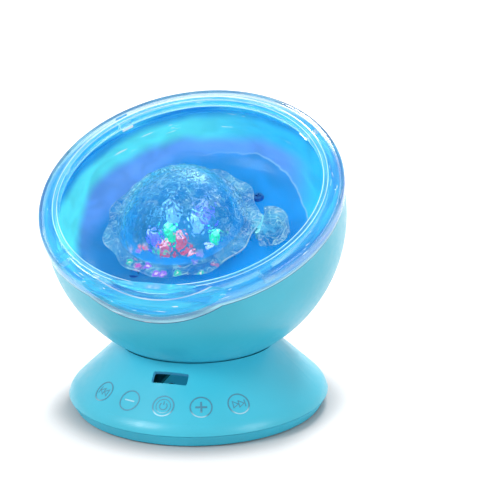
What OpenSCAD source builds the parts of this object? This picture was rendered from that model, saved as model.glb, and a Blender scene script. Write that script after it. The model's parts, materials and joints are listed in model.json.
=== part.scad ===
// Table-top light projector: a round bowl with a clear cover and a turning
// ripple dome, which tilts in the dish of a low cone-shaped base.
// Millimetres, +Z up, the front of the object faces -Y. The origin is on the
// floor, at the centre of the base.

/* [Base] */
// Largest diameter of the base
base_d = 108; // [104:0.5:114]
// Slope of the base's cone, in degrees from the floor
cone_slope = 43; // [42:0.5:44]
// Radius that rounds the edge of the base
edge_round = 9; // [8:0.5:10]
// Height of the centre of that rounding
edge_z = 3; // [2.6:0.1:3.4]
// Wall of both base shells
base_wall = 2.2; // [1.8:0.1:2.4]
// Height of the seam between the base shells
parting_z = 5.3; // [5:0.1:5.6]
// Gap at the seams that show
seam = 0.2; // [0.1:0.05:0.3]
// How far the bottom shell's lower edge lies inside the base's edge
bottom_in = 2.9; // [2:0.1:4]
// Height of the bottom shell above the floor
base_lift = 0.6; // [0.4:0.1:0.8]
// Thickness of the bottom shell's floor
floor_t = 2; // [1.6:0.1:2.2]

/* [Keys and window] */
// Number of touch keys
key_count = 5; // [3:1:5]
// Angle between neighbouring keys
key_step = 18.5; // [16:0.5:20]
// Distance of the keys from the base's edge
key_in = 8; // [7:0.5:9]
// Outer diameter of a key's printed ring
key_d = 8.9; // [7:0.1:10]
// Width of the printed line
print_w = 0.5; // [0.3:0.05:0.8]
// Thickness of the print
print_t = 0.12; // [0.08:0.02:0.2]
// Width of the receiver window
window_w = 14.5; // [10:0.5:16]
// Height of the receiver window along the slope
window_h = 5; // [4:0.2:5.4]
// Distance of the window's centre from the row of keys
window_in = 8.9; // [8.6:0.1:9.2]

/* [Bowl] */
// Radius of the bowl
bowl_r = 61; // [60:0.1:61.6]
// Wall of the bowl
bowl_wall = 2.2; // [1.8:0.1:2.4]
// Height of the bowl's lowest point above the floor
bowl_lift = 18.5; // [18:0.1:19.5]
// Tilt of the bowl as it stands here
tilt_rest = 30; // [0:1:45]
// Tilt range of the bowl, from upright
tilt_range = 45; // [30:1:45]
// Gap between the bowl and its dish
dish_gap = 0.4; // [0.3:0.05:0.6]
// Height of the bowl's edge over the tilt axis
edge_h = 8.3; // [7.5:0.1:9]
// How far the front of that edge is cut away, measured square to the cut
front_cut = 3.9; // [3:0.1:4.5]

/* [Clear cover] */
// How far the cover stands out over the bowl
cover_step = 0.6; // [0.2:0.1:1]
// Height of the cover over the bowl's edge
cover_h = 7.1; // [6.8:0.1:7.6]
// Wall of the cover
cover_wall = 2; // [1.6:0.1:2.2]
// Rounding of the cover's shoulder
shoulder_r = 3.3; // [2.8:0.1:3.6]
// Height of the front band between the bowl's edge and the cover's facet
band = 3; // [2.6:0.1:3.4]
// How deep the cover's skirt reaches into the bowl
skirt_h = 3; // [2.4:0.1:3.4]
// Wall of the skirt
skirt_t = 1.2; // [1:0.1:1.4]
// Width of the cover round the window
lens_in = 6.1; // [5.8:0.1:6.6]
// Width of the window's raised rim
lens_rim = 2.2; // [1.8:0.1:2.6]
// Thickness of the window
lens_t = 1.6; // [1.4:0.1:1.8]
// Height of the window's rim
lens_h = 4; // [3.8:0.1:4.2]
// How deep the window lies below its rim
lens_sink = 1.6; // [1.2:0.1:1.8]
// Width of a cover clip
clip_w = 5; // [4:0.5:7]

/* [Reflector] */
// Depth of the reflector's floor below the tilt axis
well_z = 18; // [17.6:0.1:18.4]
// Radius between the reflector's floor and wall
well_round = 18.5; // [18:0.1:19]
// Wall of the reflector
well_wall = 1.6; // [1.4:0.1:1.8]
// Gap between the reflector's rim and the bowl
well_gap = 0.6; // [0.4:0.1:1]

/* [Ripple dome and drive] */
// Place of the dome's axis to the left of the bowl's axis
dome_left = 10; // [9:0.1:10.2]
// Place of the dome's axis behind the bowl's axis
dome_back = 7.5; // [6.8:0.1:7.6]
// Radius of the dome at its foot
dome_r = 27.8; // [27.5:0.1:28.2]
// Height of the dome over its foot
dome_h = 22.4; // [21:0.1:22.8]
// Wall of the dome
dome_wall = 1.3; // [1.1:0.1:1.4]
// Height of the dome's ripples
ripple_a = 0.3; // [0.1:0.05:0.4]
// Number of ripples from the dome's foot to its top
ripple_n = 7; // [4:1:9]
// Mean radius of the dome's flange
flange_r = 32.4; // [32:0.1:32.8]
// Height of the waves in the flange's outline
flange_a = 1.4; // [0.5:0.1:1.6]
// Number of waves in the flange's outline
flange_n = 11; // [7:1:15]
// Thickness of the flange
flange_t = 1.2; // [1:0.1:1.4]
// Module of the gears
gear_m = 1.2; // [1.16:0.01:1.22]
// Teeth of the dome's gear
gear_teeth = 50; // [48:1:51]
// Teeth of the pinion
pinion_teeth = 10; // [10:1:12]
// Pressure angle of the teeth
pressure = 25; // [24:0.5:27]
// Height of the gear
gear_t = 3.8; // [3.4:0.1:4]
// Direction of the pinion from the dome, behind the right
pinion_dir = 4; // [0:1:8]
// Radius of the spigot that the dome turns on
spigot_r = 24; // [23.6:0.1:24.2]
// Radius of the hole inside the spigot
spigot_bore = 22; // [21.6:0.1:22.2]
// Running clearance of the dome on its spigot
run_gap = 0.05; // [0.03:0.01:0.08]

/* [Lamps] */
// Diameter of a lamp
led_d = 5; // [4:0.1:5.4]
// Straight height of a lamp under its round top
led_h = 6; // [5:0.1:6.4]
// Radius of the lamp board
led_board_r = 25.4; // [24.8:0.1:25.6]
// Thickness of the boards
board_t = 1.6; // [1.4:0.1:1.6]

/* [Tilt joint] */
// Radius of the stem
stem_r = 4; // [3.6:0.1:4.2]
// Radius of the wire duct in the stem
duct_r = 2.4; // [1.8:0.1:2.6]
// Gap round the stem in the dish's slot
slot_gap = 0.4; // [0.3:0.05:0.5]
// Thickness of the friction pad
pad_t = 1; // [0.8:0.1:1.2]
// Thickness of the saddle
saddle_t = 2.2; // [1.8:0.1:2.4]
// Length of the saddle across the slot
saddle_w = 18; // [16:0.5:19]
// Length of the saddle along the slot
saddle_l = 13; // [12:0.5:13]
// Thickness of the stem's nut
nut_t = 3; // [2.6:0.1:3.2]

/* [Loudspeaker] */
// Radius of the loudspeaker
speaker_r = 15; // [14:0.1:15.4]
// Distance of the loudspeaker's centre from the base's edge
speaker_in = 23; // [22.8:0.1:23.4]
// Height of the loudspeaker
speaker_h = 7.6; // [7:0.1:8]
// Radius of a grille hole
grille_r = 1.1; // [0.8:0.05:1.3]

/* [Hidden] */
$fn = 96;
big = 300;
eps = 0.01;

// Base: the slope's outward normal, and where the rounding meets the cone
slope_n = [sin(cone_slope), cos(cone_slope)];
base_r = base_d / 2;
edge_c = [base_r - edge_round, edge_z];
cone_c = edge_c * slope_n + edge_round;
inner_floor = base_lift + floor_t;
pivot_h = bowl_lift + bowl_r;
dish_r = bowl_r + dish_gap;
key_r = base_r - key_in;
window_r = key_r - window_in;
key_list = [for (i = [0 : key_count - 1]) (i - (key_count - 1) / 2) * key_step];
// Fasteners of the base: angle from the front, at one distance from the axis
screw_at = [62, 135, 225, 298];
screw_ring = base_r - 10;
post_r = 3.2;
boss_r = 3.5;
screw_r = 1.3;
screw_head_r = 2.3;
screw_head_h = 1.5;
screw_len = 10;
foot_at = [30, 155, 205, 330];
foot_ring = base_r - 12;
foot_r = 4;
foot_sink = 0.7;
fit_gap = 0.1;

// Connector panel at the back
panel_y = base_r - 5.8;
panel_t = 2.2;
panel_w = 38;
panel_top = 12.6;
panel_gap = 0.4;
port_gap = 0.3;
port_board_z = 4.4;
port_board_l = 8.6;
port_z = port_board_z + board_t;
port_post = [14, panel_y - 6.2];
usb_x = -12;
usb_w = 7.6;
usb_h = 2.7;
usb_l = 6.6;
usb_wall = 0.35;
usb_tongue = [4.4, 0.6, 3.2];
jack_w = 6;
jack_h = 5;
jack_l = 12;
jack_nose_r = 2.5;
jack_hole_r = 1.75;
card_x = 12;
card_w = 12;
card_h = 1.6;
card_l = 10.6;
card_wall = 0.4;

// Boards in the base
board_z = 5;
main_lo = [10 - base_r, -13];
main_hi = [-16, 22];
post_in = 3;
main_post = [
  [main_lo[0] + post_in, 0],
  [main_hi[0] - post_in, main_hi[1] - post_in],
  [main_hi[0] - post_in, main_lo[1] + post_in]
];
board_post_r = 2;
board_screw_r = 0.9;
board_screw_h = 1.2;
touch_in = key_r - 7;
touch_out = key_r + 2.4;
touch_half = 45;
touch_post_at = [-40, 0, 40];
pad_r0 = key_r - 1.6;
pad_d = 6;

// Receiver behind the window
ir_y = 1.2 - window_r;
ir_z = (cone_c - window_r * slope_n[0]) / slope_n[1] - 4.6;
ir_r = 2;
ir_body = [5.2, 3.1, 5.2];
ir_tab = [9, 6];

// Bowl
cut_s = (edge_h + bowl_r) - front_cut * sqrt(2);
facet_s = cut_s + band * sqrt(2);
in_r = bowl_r - bowl_wall;
cover_r = bowl_r + cover_step;
cover_top = edge_h + cover_h;
skirt_gap = 0.15;
ledge_t = 1.2;
lens_gap = 0.2;
lens_r = cover_r - lens_in;
lens_top = cover_top - 0.2;
lens_face = lens_top - lens_sink;
lens_low = lens_top - lens_h;
clip_at = [45, 135, 225, 315];
clip_t = 1.4;
clip_reach = 2;

// Reflector
well_r = in_r - well_gap - well_wall;
well_c = [well_r - well_round, well_round - well_z];
well_screw_at = [60, -45, -132];
well_screw_ring = 34;
well_screw_r = 1.2;
well_screw_l = 9;
well_head_r = 2.4;
well_head_h = 1.3;

// Dome and drive, along the bowl's axis
dome_c = [-dome_left, dome_back];
gear_z = -well_z + 1.3;
gear_top = gear_z + gear_t;
lift_gap = 0.3;
bearing_flange = 1;
bearing_r = spigot_r + 1.6;
retainer_r = 25.8;
retainer_t = 1;
ball_r = (dome_r * dome_r + dome_h * dome_h) / (2 * dome_h);
ball_z = gear_top + dome_h - ball_r;
ripple_steps = 6;
pitch_g = gear_m * gear_teeth / 2;
pitch_p = gear_m * pinion_teeth / 2;
axis_d = pitch_g + pitch_p;
pinion_c = dome_c + axis_d * [cos(pinion_dir), sin(pinion_dir)];
addendum = 0.8;
dedendum = 1.05;
backlash = 0.08;
flank_steps = 5;
pinion_t = gear_t - 0.5;
guard_gap = 0.7;
guard_t = 1.1;
guard_roof = 1.1;
shaft_r = 1;
boss_m_r = 3;
motor_r = 10;
motor_h = 12;
shaft_in = 6;
bracket_t = 1.5;
bracket_l = 29;
bracket_w = 16;
motor_screw_d = 12.4;

// Lamps: [right, front] from the dome's axis
led_z = -well_z - well_wall - 2.8;
red_at = [[-5.5, 11], [8.3, 15.9], [0.5, 6]];
green_at = [[-6, 1], [14.7, 2.4]];
blue_at = [[14.5, 11], [-12, 5], [5.5, -13]];
white_at = [[3.9, -5.8], [-8, -10]];
led_post_at = [30, 150, 270];
led_post_r = 1.6;
led_post_d = led_board_r - led_post_r - 0.1;

// Tilt joint: distances are from the tilt axis, along the stem
stem_mid = tilt_range / 2;
dish_out = dish_r + base_wall;
pad_r = dish_out + 0.3;
saddle_r = pad_r + pad_t;
washer_r = saddle_r + saddle_t + 0.2;
washer_h = 2.6;
nut_r = washer_r + washer_h + 0.1;
stem_end = nut_r + nut_t + 0.4;
stem_flange_r = 9;
stem_flange_t = 2.4;

// ---------------------------------------------------------------- helpers

// From the bowl's own axes to where the bowl stands
module in_bowl() {
  translate([0, 0, pivot_h]) rotate([tilt_rest, 0, 0]) children();
}

// Axes of the tilt stem inside the bowl, pointing down its length
module on_stem() {
  rotate([-stem_mid, 0, 0]) children();
}

// A place at an angle from the front, at a distance from the axis
module at(angle, r) {
  rotate([0, 0, angle]) translate([0, -r, 0]) children();
}

// A rectangle with round corners, centred
module rounded(w, h, r) {
  square([w - 2 * r, h], center = true);
  square([w, h - 2 * r], center = true);
  for (x = [-1, 1], y = [-1, 1])
    translate([x * (w / 2 - r), y * (h / 2 - r)]) circle(r);
}

module tube(r, bore, z0, z1) {
  difference() {
    translate([0, 0, z0]) cylinder(r = r, h = z1 - z0);
    translate([0, 0, z0 - 1]) cylinder(r = bore, h = z1 - z0 + 2);
  }
}

module rod(r, z0, z1) {
  translate([0, 0, z0]) cylinder(r = r, h = z1 - z0);
}

// A block between two corners
module block(lo, hi) {
  translate(lo) cube(hi - lo);
}

// The base's outer form, moved in by "o", as a profile of its right half
module base_profile(o = 0) {
  t = edge_c + (edge_round - o) * slope_n;
  apex = (cone_c - o) / slope_n[1];
  polygon([[0, parting_z - o], [edge_c[0], parting_z - o], t, [0, apex]]);
  intersection() {
    translate(edge_c) circle(edge_round - o);
    translate([edge_c[0] - 1, parting_z - o]) square([edge_round + 2, edge_round]);
  }
}

module base_solid(o = 0) {
  rotate_extrude() base_profile(o);
}

// Axes on the slope of the cone: Z is its outward normal
module on_slope(angle, r) {
  z = (cone_c - r * slope_n[0]) / slope_n[1];
  rotate([0, 0, angle]) translate([0, -r, z]) rotate([cone_slope, 0, 0]) children();
}

// The space above the bowl's edge, moved down by "k", square to its faces
module above_edge(k = 0) {
  translate([-big / 2, -big / 2, edge_h - k]) cube(big);
  beyond_front(cut_s - k * sqrt(2));
}

// The space in front of a plane that leans 45 degrees; it meets the bowl's
// axis at height s
module beyond_front(s) {
  translate([0, 0, s]) rotate([45, 0, 0])
    translate([-big / 2, -big / 2, 0]) cube(big);
}

// ------------------------------------------------------------------- base

module base_top_shell() {
  color([0.36, 0.78, 0.86])
  difference() {
    union() {
      difference() {
        base_solid();
        difference() {
          base_solid(base_wall);
          translate([0, 0, pivot_h]) sphere(dish_out);
          port_panel();
        }
        translate([0, 0, -1]) rod(base_d, 0, parting_z + 1);
      }
      intersection() {
        base_solid(base_wall / 2);
        for (a = screw_at) at(a, screw_ring) rod(post_r, parting_z, base_d);
      }
    }
    translate([0, 0, pivot_h]) sphere(dish_r);
    dish_slot();
    receiver_window();
    port_pocket();
    for (a = screw_at) at(a, screw_ring) rod(screw_r + fit_gap / 2, 0, screw_len + 1.6);
  }
}

// The wall behind the connector pocket
module port_panel() {
  w = panel_w + 2 * panel_t;
  block([-w / 2, panel_y - panel_t, 0], [w / 2, base_d, panel_top]);
}

module port_pocket() {
  block([-panel_w / 2, panel_y, 0], [panel_w / 2, base_d, base_d]);
  y0 = panel_y - panel_t - 1;
  usb_mid = port_z + usb_h / 2;
  translate([usb_x, y0, usb_mid]) rotate([-90, 0, 0]) linear_extrude(panel_t + 2)
    rounded(usb_w + 2 * port_gap, usb_h + 2 * port_gap, 0.6);
  card_mid = port_z + card_h / 2;
  translate([card_x, y0, card_mid]) rotate([-90, 0, 0]) linear_extrude(panel_t + 2)
    rounded(card_w + 2 * port_gap, card_h + 2 * port_gap, 0.4);
  translate([0, y0, port_z + jack_h / 2]) rotate([-90, 0, 0])
    cylinder(r = jack_nose_r + fit_gap, h = panel_t + 2);
}

// The slot that the stem travels in
module dish_slot() {
  r = stem_r + slot_gap;
  half = tilt_range / 2;
  translate([0, 0, pivot_h]) {
    for (a = [-half, half])
      rotate([a, 0, 0]) rod(r, -dish_out - 3, -dish_r + 3);
    rotate([-half, 0, 0]) rotate([0, 90, 0]) rotate_extrude(angle = tilt_range)
      translate([dish_r - 3, -r]) square([base_wall + 6, 2 * r]);
  }
}

module receiver_window() {
  on_slope(0, window_r) translate([0, 0, -base_wall - 1.5])
    linear_extrude(base_wall + 3) rounded(window_w, window_h, 0.8);
}

module base_bottom_shell() {
  r1 = base_r - bottom_in;
  r2 = edge_c[0] + sqrt(pow(edge_round, 2) - pow(parting_z - edge_z, 2)) - 0.1;
  top = parting_z - seam;
  lip_r = edge_c[0] + sqrt(pow(edge_round - base_wall, 2) - pow(parting_z + 1 - edge_z, 2));
  color([0.33, 0.72, 0.82])
  difference() {
    union() {
      rotate_extrude() difference() {
        polygon([[0, base_lift], [r1, base_lift], [r2, top], [0, top]]);
        polygon([
          [0, inner_floor], [r1 - base_wall, inner_floor],
          [r2 - base_wall, top + eps], [0, top + eps]
        ]);
      }
      difference() {
        tube(lip_r - fit_gap, lip_r - 1.3, inner_floor - eps, parting_z + 1);
        block([-panel_w, 0, inner_floor], [panel_w, base_d, base_d]);
        for (a = screw_at) at(a, screw_ring) rod(post_r + 1, parting_z - seam, base_d);
      }
      for (a = screw_at) at(a, screw_ring) rod(boss_r, base_lift, top);
      for (p = main_post) translate(p) rod(board_post_r, inner_floor - eps, board_z);
      for (a = touch_post_at) at(a, (touch_in + touch_out) / 2)
        rod(board_post_r, inner_floor - eps, board_z);
      for (s = [-1, 1]) translate([s * port_post[0], port_post[1], 0])
        rod(board_post_r, inner_floor - eps, port_board_z);
      intersection() {
        rod(r1 - base_wall / 2, inner_floor - eps, top);
        block([-panel_w / 2 - panel_t, panel_y - panel_t, 0],
              [panel_w / 2 + panel_t, base_d, top]);
      }
    }
    for (a = screw_at) at(a, screw_ring) {
      rod(screw_r + 0.2, 0, parting_z);
      rod(screw_head_r + 0.2, 0, base_lift + screw_head_h + 0.2);
    }
    at_feet() rod(foot_r + fit_gap, 0, base_lift + foot_sink);
    for (p = main_post) translate(p)
      rod(board_screw_r + fit_gap / 2, inner_floor + 0.4, board_z + 1);
    grille();
  }
}

// One place in the middle of the base and one at each angle of "foot_at"
module at_feet() {
  children();
  for (a = foot_at) at(a, foot_ring) children();
}

module grille() {
  step = 3.6 * grille_r / 1.1;
  translate([base_r - speaker_in, 0, base_lift - 1]) {
    cylinder(r = grille_r, h = floor_t + 2);
    for (ring = [1, 2], i = [0 : 6 * ring - 1])
      rotate([0, 0, i * 60 / ring]) translate([ring * step, 0, 0])
        cylinder(r = grille_r, h = floor_t + 2);
  }
}

module rubber_feet() {
  color([0.2, 0.2, 0.22])
  at_feet() rod(foot_r, 0, base_lift + foot_sink);
}

module base_screws() {
  color([0.7, 0.7, 0.72])
  for (a = screw_at) at(a, screw_ring) {
    rod(screw_head_r, base_lift + 0.2, base_lift + 0.2 + screw_head_h);
    rod(screw_r, base_lift + 0.2, screw_len + 1.2);
  }
}

module touch_icons() {
  color([0.62, 0.7, 0.72])
  difference() {
    intersection() {
      base_solid(-print_t);
      for (a = key_list) on_slope(a, key_r) tube(key_d / 2, key_d / 2 - print_w, -2, 2);
    }
    base_solid();
  }
}

module touch_board() {
  color([0.1, 0.4, 0.25])
  union() {
    rotate([0, 0, -90 - touch_half]) rotate_extrude(angle = 2 * touch_half)
      translate([touch_in, board_z]) square([touch_out - touch_in, board_t]);
    block([-ir_tab[0] / 2, -touch_in - 1, board_z],
          [ir_tab[0] / 2, -touch_in + ir_tab[1] - 1, board_z + board_t]);
  }
}

module touch_pads() {
  color([0.25, 0.25, 0.27])
  intersection() {
    base_solid(base_wall + fit_gap);
    for (a = key_list) at(a, pad_r0) rod(pad_d / 2, board_z + board_t, base_d);
  }
}

module ir_receiver() {
  low = ir_z - ir_body[2];
  color([0.06, 0.06, 0.07])
  union() {
    translate([0, ir_y, ir_z]) sphere(ir_r);
    block([-ir_body[0] / 2, ir_y - ir_body[1] + 0.9, low],
          [ir_body[0] / 2, ir_y + 0.9, ir_z]);
    for (x = [-1.7, 0, 1.7]) translate([x, ir_y - 0.6, 0])
      rod(0.35, board_z + board_t, low + 0.5);
  }
}

module main_board() {
  color([0.1, 0.4, 0.25])
  difference() {
    block([main_lo[0], main_lo[1], board_z], [main_hi[0], main_hi[1], board_z + board_t]);
    for (p = main_post) translate(p) rod(board_screw_r + 0.3, 0, base_d);
  }
}

module board_chips() {
  top = board_z + board_t;
  mid = (main_lo[0] + main_hi[0]) / 2;
  chip_t = 1.4;
  can_y = main_hi[1] - 8.5;
  can_r = 2.3;
  can_h = 5;
  color([0.12, 0.12, 0.13]) {
    block([mid - 3, 2, top], [mid + 3, 8, top + chip_t]);
    block([mid - 1, -8, top], [mid + 4, -4, top + chip_t]);
    for (x = [-4, 5]) translate([mid + x, can_y, 0]) rod(can_r, top, top + can_h);
  }
}

module board_screws() {
  color([0.7, 0.7, 0.72])
  for (p = main_post) translate(p) {
    rod(board_screw_r, inner_floor + 0.8, board_z + board_t);
    rod(2 * board_screw_r, board_z + board_t, board_z + board_t + board_screw_h);
  }
}

module port_board() {
  w = panel_w / 2 - 1;
  y = panel_y - panel_t - panel_gap;
  color([0.1, 0.4, 0.25])
  block([-w, y - port_board_l, port_board_z], [w, y, port_z]);
}

module usb_inlet() {
  back = panel_y - panel_gap - usb_l;
  color([0.75, 0.75, 0.77])
  translate([usb_x, 0, port_z + usb_h / 2]) rotate([-90, 0, 0]) difference() {
    translate([0, 0, back]) linear_extrude(usb_l) rounded(usb_w, usb_h, 0.5);
    difference() {
      translate([0, 0, back + 4 * usb_wall]) linear_extrude(usb_l)
        rounded(usb_w - 2 * usb_wall, usb_h - 2 * usb_wall, 0.3);
      translate([0, 0, back + 1]) linear_extrude(usb_tongue[2])
        square([usb_tongue[0], usb_tongue[1]], center = true);
    }
  }
}

module audio_jack() {
  color([0.08, 0.08, 0.09])
  translate([0, 0, port_z + jack_h / 2]) difference() {
    union() {
      block([-jack_w / 2, panel_y - jack_l, -jack_h / 2],
            [jack_w / 2, panel_y - panel_t - 0.2, jack_h / 2]);
      rotate([-90, 0, 0]) rod(jack_nose_r, panel_y - panel_t - 1, panel_y);
    }
    rotate([-90, 0, 0]) rod(jack_hole_r, panel_y - jack_l + 1, panel_y + 1);
  }
}

module card_slot() {
  w = card_w / 2;
  front = panel_y - panel_gap;
  color([0.75, 0.75, 0.77])
  difference() {
    block([card_x - w, front - card_l, port_z], [card_x + w, front, port_z + card_h]);
    block([card_x - w + card_wall, front - card_l + card_wall, port_z + card_wall],
          [card_x + w - card_wall, base_d, port_z + card_h - card_wall]);
  }
}

module speaker_frame() {
  z = inner_floor;
  color([0.16, 0.16, 0.17])
  translate([base_r - speaker_in, 0, 0]) rotate_extrude() polygon([
    [speaker_r - 2.4, z], [speaker_r, z], [speaker_r, z + 1.2],
    [speaker_r - 1.6, z + 1.2], [speaker_r / 2 + 2, z + speaker_h - 3],
    [speaker_r / 2 - 2.5, z + speaker_h - 3], [speaker_r / 2 - 2.5, z + speaker_h - 3.8],
    [speaker_r / 2 + 1.4, z + speaker_h - 3.8], [speaker_r - 2.4, z + 1.2]
  ]);
}

module speaker_cone() {
  z = inner_floor;
  color([0.3, 0.28, 0.26])
  translate([base_r - speaker_in, 0, 0]) rotate_extrude() polygon([
    [0, z + 2], [3, z + 2], [5, z + 2.4], [speaker_r - 3, z + 0.5],
    [speaker_r - 2.45, z + 0.5], [speaker_r - 2.45, z + 0.9],
    [speaker_r - 3, z + 0.9], [5, z + 2.8], [3, z + 2.4], [0, z + 2.4]
  ]);
}

module speaker_magnet() {
  z = inner_floor;
  color([0.5, 0.5, 0.52])
  translate([base_r - speaker_in, 0, 0]) rod(speaker_r / 2, z + speaker_h - 3, z + speaker_h);
}

// ------------------------------------------------------------------- bowl

// The bowl's round form, moved in by "o", a little taller than its edge
module bowl_form(o) {
  r = bowl_r - o;
  rotate_extrude() {
    intersection() {
      circle(r);
      translate([0, -r]) square(r);
    }
    square([r, edge_h + 1]);
  }
}

module bowl_shell() {
  color([0.36, 0.78, 0.86])
  in_bowl() difference() {
    union() {
      difference() {
        bowl_form(0);
        bowl_form(bowl_wall);
      }
      intersection() {
        bowl_form(bowl_wall / 2);
        for (a = well_screw_at) rotate([0, 0, a]) translate([well_screw_ring, 0, 0])
          rod(post_r, -bowl_r, -well_z - well_wall);
      }
    }
    above_edge();
    on_stem() rod(stem_r + fit_gap, -bowl_r - 2, -in_r + 2);
    for (a = well_screw_at) rotate([0, 0, a]) translate([well_screw_ring, 0, 0])
      rod(well_screw_r + fit_gap / 2, -well_z - well_wall - well_screw_l, 0);
  }
}

module cover_form(r, top, round_r) {
  rotate_extrude() {
    square([r, top - round_r]);
    square([r - round_r, top]);
    translate([r - round_r, top - round_r]) intersection() {
      circle(round_r);
      square(round_r);
    }
  }
}

module clear_cover() {
  skirt_r = in_r - skirt_gap;
  color([0.75, 0.92, 0.97, 0.5])
  in_bowl() difference() {
    union() {
      intersection() {
        difference() {
          cover_form(cover_r, cover_top, shoulder_r);
          difference() {
            cover_form(cover_r - cover_wall, cover_top - cover_wall, shoulder_r - cover_wall);
            beyond_front(facet_s - cover_wall * sqrt(2));
          }
        }
        above_edge(-seam);
      }
      difference() {
        union() {
          intersection() {
            tube(skirt_r, skirt_r - skirt_t, -bowl_r, cover_top - 1);
            above_edge(skirt_h);
          }
          intersection() {
            tube(cover_r - cover_wall / 2, skirt_r - skirt_t, -bowl_r, cover_top - 1);
            above_edge(-seam);
          }
        }
        above_edge(-seam - ledge_t);
      }
    }
    beyond_front(facet_s);
    rod(lens_r + lens_gap, edge_h + 2, cover_top + 1);
  }
}

module window_lens() {
  r = lens_r - lens_rim;
  color([0.8, 0.94, 0.98, 0.5])
  in_bowl() difference() {
    rod(lens_r, lens_low, lens_top);
    beyond_front(facet_s);
    difference() {
      union() {
        rod(r, lens_face, lens_top + 1);
        rod(r, lens_low - 1, lens_face - lens_t);
      }
      beyond_front(facet_s - lens_rim * sqrt(2));
    }
  }
}

module cover_clips() {
  out = cover_r - cover_wall - 0.3;
  hook = lens_low - fit_gap;
  color([0.85, 0.95, 0.98, 0.6])
  in_bowl() intersection() {
    cover_form(cover_r - cover_wall - fit_gap, cover_top - cover_wall - fit_gap,
               shoulder_r - cover_wall);
    for (a = clip_at) at(a, 0) {
      block([-clip_w / 2, -out, hook - clip_t], [clip_w / 2, -lens_r + clip_reach, hook]);
      block([-clip_w / 2, -out, hook - clip_t], [clip_w / 2, -lens_r - lens_gap, cover_top]);
    }
  }
}

// The reflector's inner form, moved out by "o"
module well_profile(o) {
  square_h = well_z + o;
  translate([0, -square_h]) square([well_c[0], square_h + edge_h]);
  translate([0, well_c[1]]) square([well_r + o, edge_h - well_c[1]]);
  intersection() {
    translate(well_c) circle(well_round + o);
    translate([well_c[0] - eps, -big]) square([big, big + well_c[1] + eps]);
  }
}

module reflector() {
  color([0.3, 0.6, 0.95])
  in_bowl() difference() {
    union() {
      rotate_extrude() difference() {
        well_profile(well_wall);
        well_profile(0);
      }
      translate(dome_c) for (a = led_post_at) rotate([0, 0, a])
        translate([led_post_d, 0, 0]) rod(led_post_r, led_z, -well_z - well_wall + eps);
    }
    above_edge(skirt_h + 0.3);
    translate(dome_c) rod(spigot_bore - 0.4, -well_z - 2, -well_z + 1);
    translate(pinion_c) rod(boss_m_r + 0.3, -well_z - well_wall - 1, -well_z + 1);
    for (a = well_screw_at) rotate([0, 0, a]) translate([well_screw_ring, 0, 0])
      rod(well_screw_r + 0.3, -well_z - well_wall - 1, -well_z + 1);
  }
}

module reflector_screws() {
  color([0.6, 0.62, 0.66])
  in_bowl() for (a = well_screw_at) rotate([0, 0, a]) translate([well_screw_ring, 0, 0]) {
    rod(well_screw_r, -well_z - well_screw_l, -well_z);
    rod(well_head_r, -well_z, -well_z + well_head_h);
  }
}

module dome_bearing() {
  color([0.2, 0.5, 0.8])
  in_bowl() translate(dome_c) rotate_extrude() polygon([
    [spigot_bore, -well_z], [bearing_r, -well_z],
    [bearing_r, -well_z + bearing_flange], [spigot_r, -well_z + bearing_flange],
    [spigot_r, gear_top + lift_gap], [spigot_bore, gear_top + lift_gap]
  ]);
}

module dome_retainer() {
  z = gear_top + lift_gap;
  color([0.2, 0.5, 0.8])
  in_bowl() translate(dome_c) tube(retainer_r, spigot_bore, z, z + retainer_t);
}

module led_board() {
  color([0.2, 0.48, 0.78])
  in_bowl() translate(dome_c) rod(led_board_r, led_z - board_t, led_z);
}

module lamps(spots) {
  in_bowl() for (p = spots) translate([dome_c[0] + p[0], dome_c[1] - p[1], 0]) {
    rod(led_d / 2, led_z, led_z + led_h);
    translate([0, 0, led_z + led_h]) sphere(led_d / 2);
    rod(led_d / 2 + 0.4, led_z, led_z + 1);
  }
}

module red_leds() {
  color([1, 0.15, 0.2]) lamps(red_at);
}

module green_leds() {
  color([0.1, 0.95, 0.4]) lamps(green_at);
}

module blue_leds() {
  color([0.3, 0.25, 1]) lamps(blue_at);
}

module white_leds() {
  color([0.95, 0.95, 1]) lamps(white_at);
}

module gear_motor() {
  top = -well_z - well_wall - bracket_t;
  color([0.72, 0.73, 0.75])
  in_bowl() translate(pinion_c) difference() {
    union() {
      rod(motor_r, top - motor_h, top);
      rod(boss_m_r, top - 1, top + bracket_t + 1);
    }
    rod(shaft_r + run_gap, top - shaft_in - 0.2, 0);
  }
}

module motor_bracket() {
  z = -well_z - well_wall;
  color([0.6, 0.62, 0.65])
  in_bowl() translate(pinion_c) difference() {
    translate([0, 0, z - bracket_t]) linear_extrude(bracket_t)
      rounded(bracket_w, bracket_l, 3);
    rod(boss_m_r + fit_gap, z - bracket_t - 1, z + 1);
    for (s = [-1, 1]) translate([0, s * motor_screw_d, 0]) rod(1.15, z - 3, z + 1);
  }
}

module motor_screws() {
  z = -well_z - well_wall - bracket_t;
  color([0.7, 0.7, 0.72])
  in_bowl() translate(pinion_c) for (s = [-1, 1]) translate([0, s * motor_screw_d, 0]) {
    rod(1.05, z, z + bracket_t);
    rod(2, z - 1.2, z);
  }
}

module pinion_guard() {
  r = pitch_p + addendum * gear_m + guard_gap;
  roof = gear_z + pinion_t + 0.5;
  color([0.85, 0.93, 0.97, 0.7])
  in_bowl() difference() {
    intersection() {
      translate(pinion_c) rod(r + guard_t, -well_z, roof + guard_roof);
      rotate_extrude() well_profile(-fit_gap);
    }
    translate(pinion_c) rod(r, -well_z - 1, roof);
    translate(dome_c) rod(flange_r + flange_a + 0.6, -well_z - 1, 0);
  }
}

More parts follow.
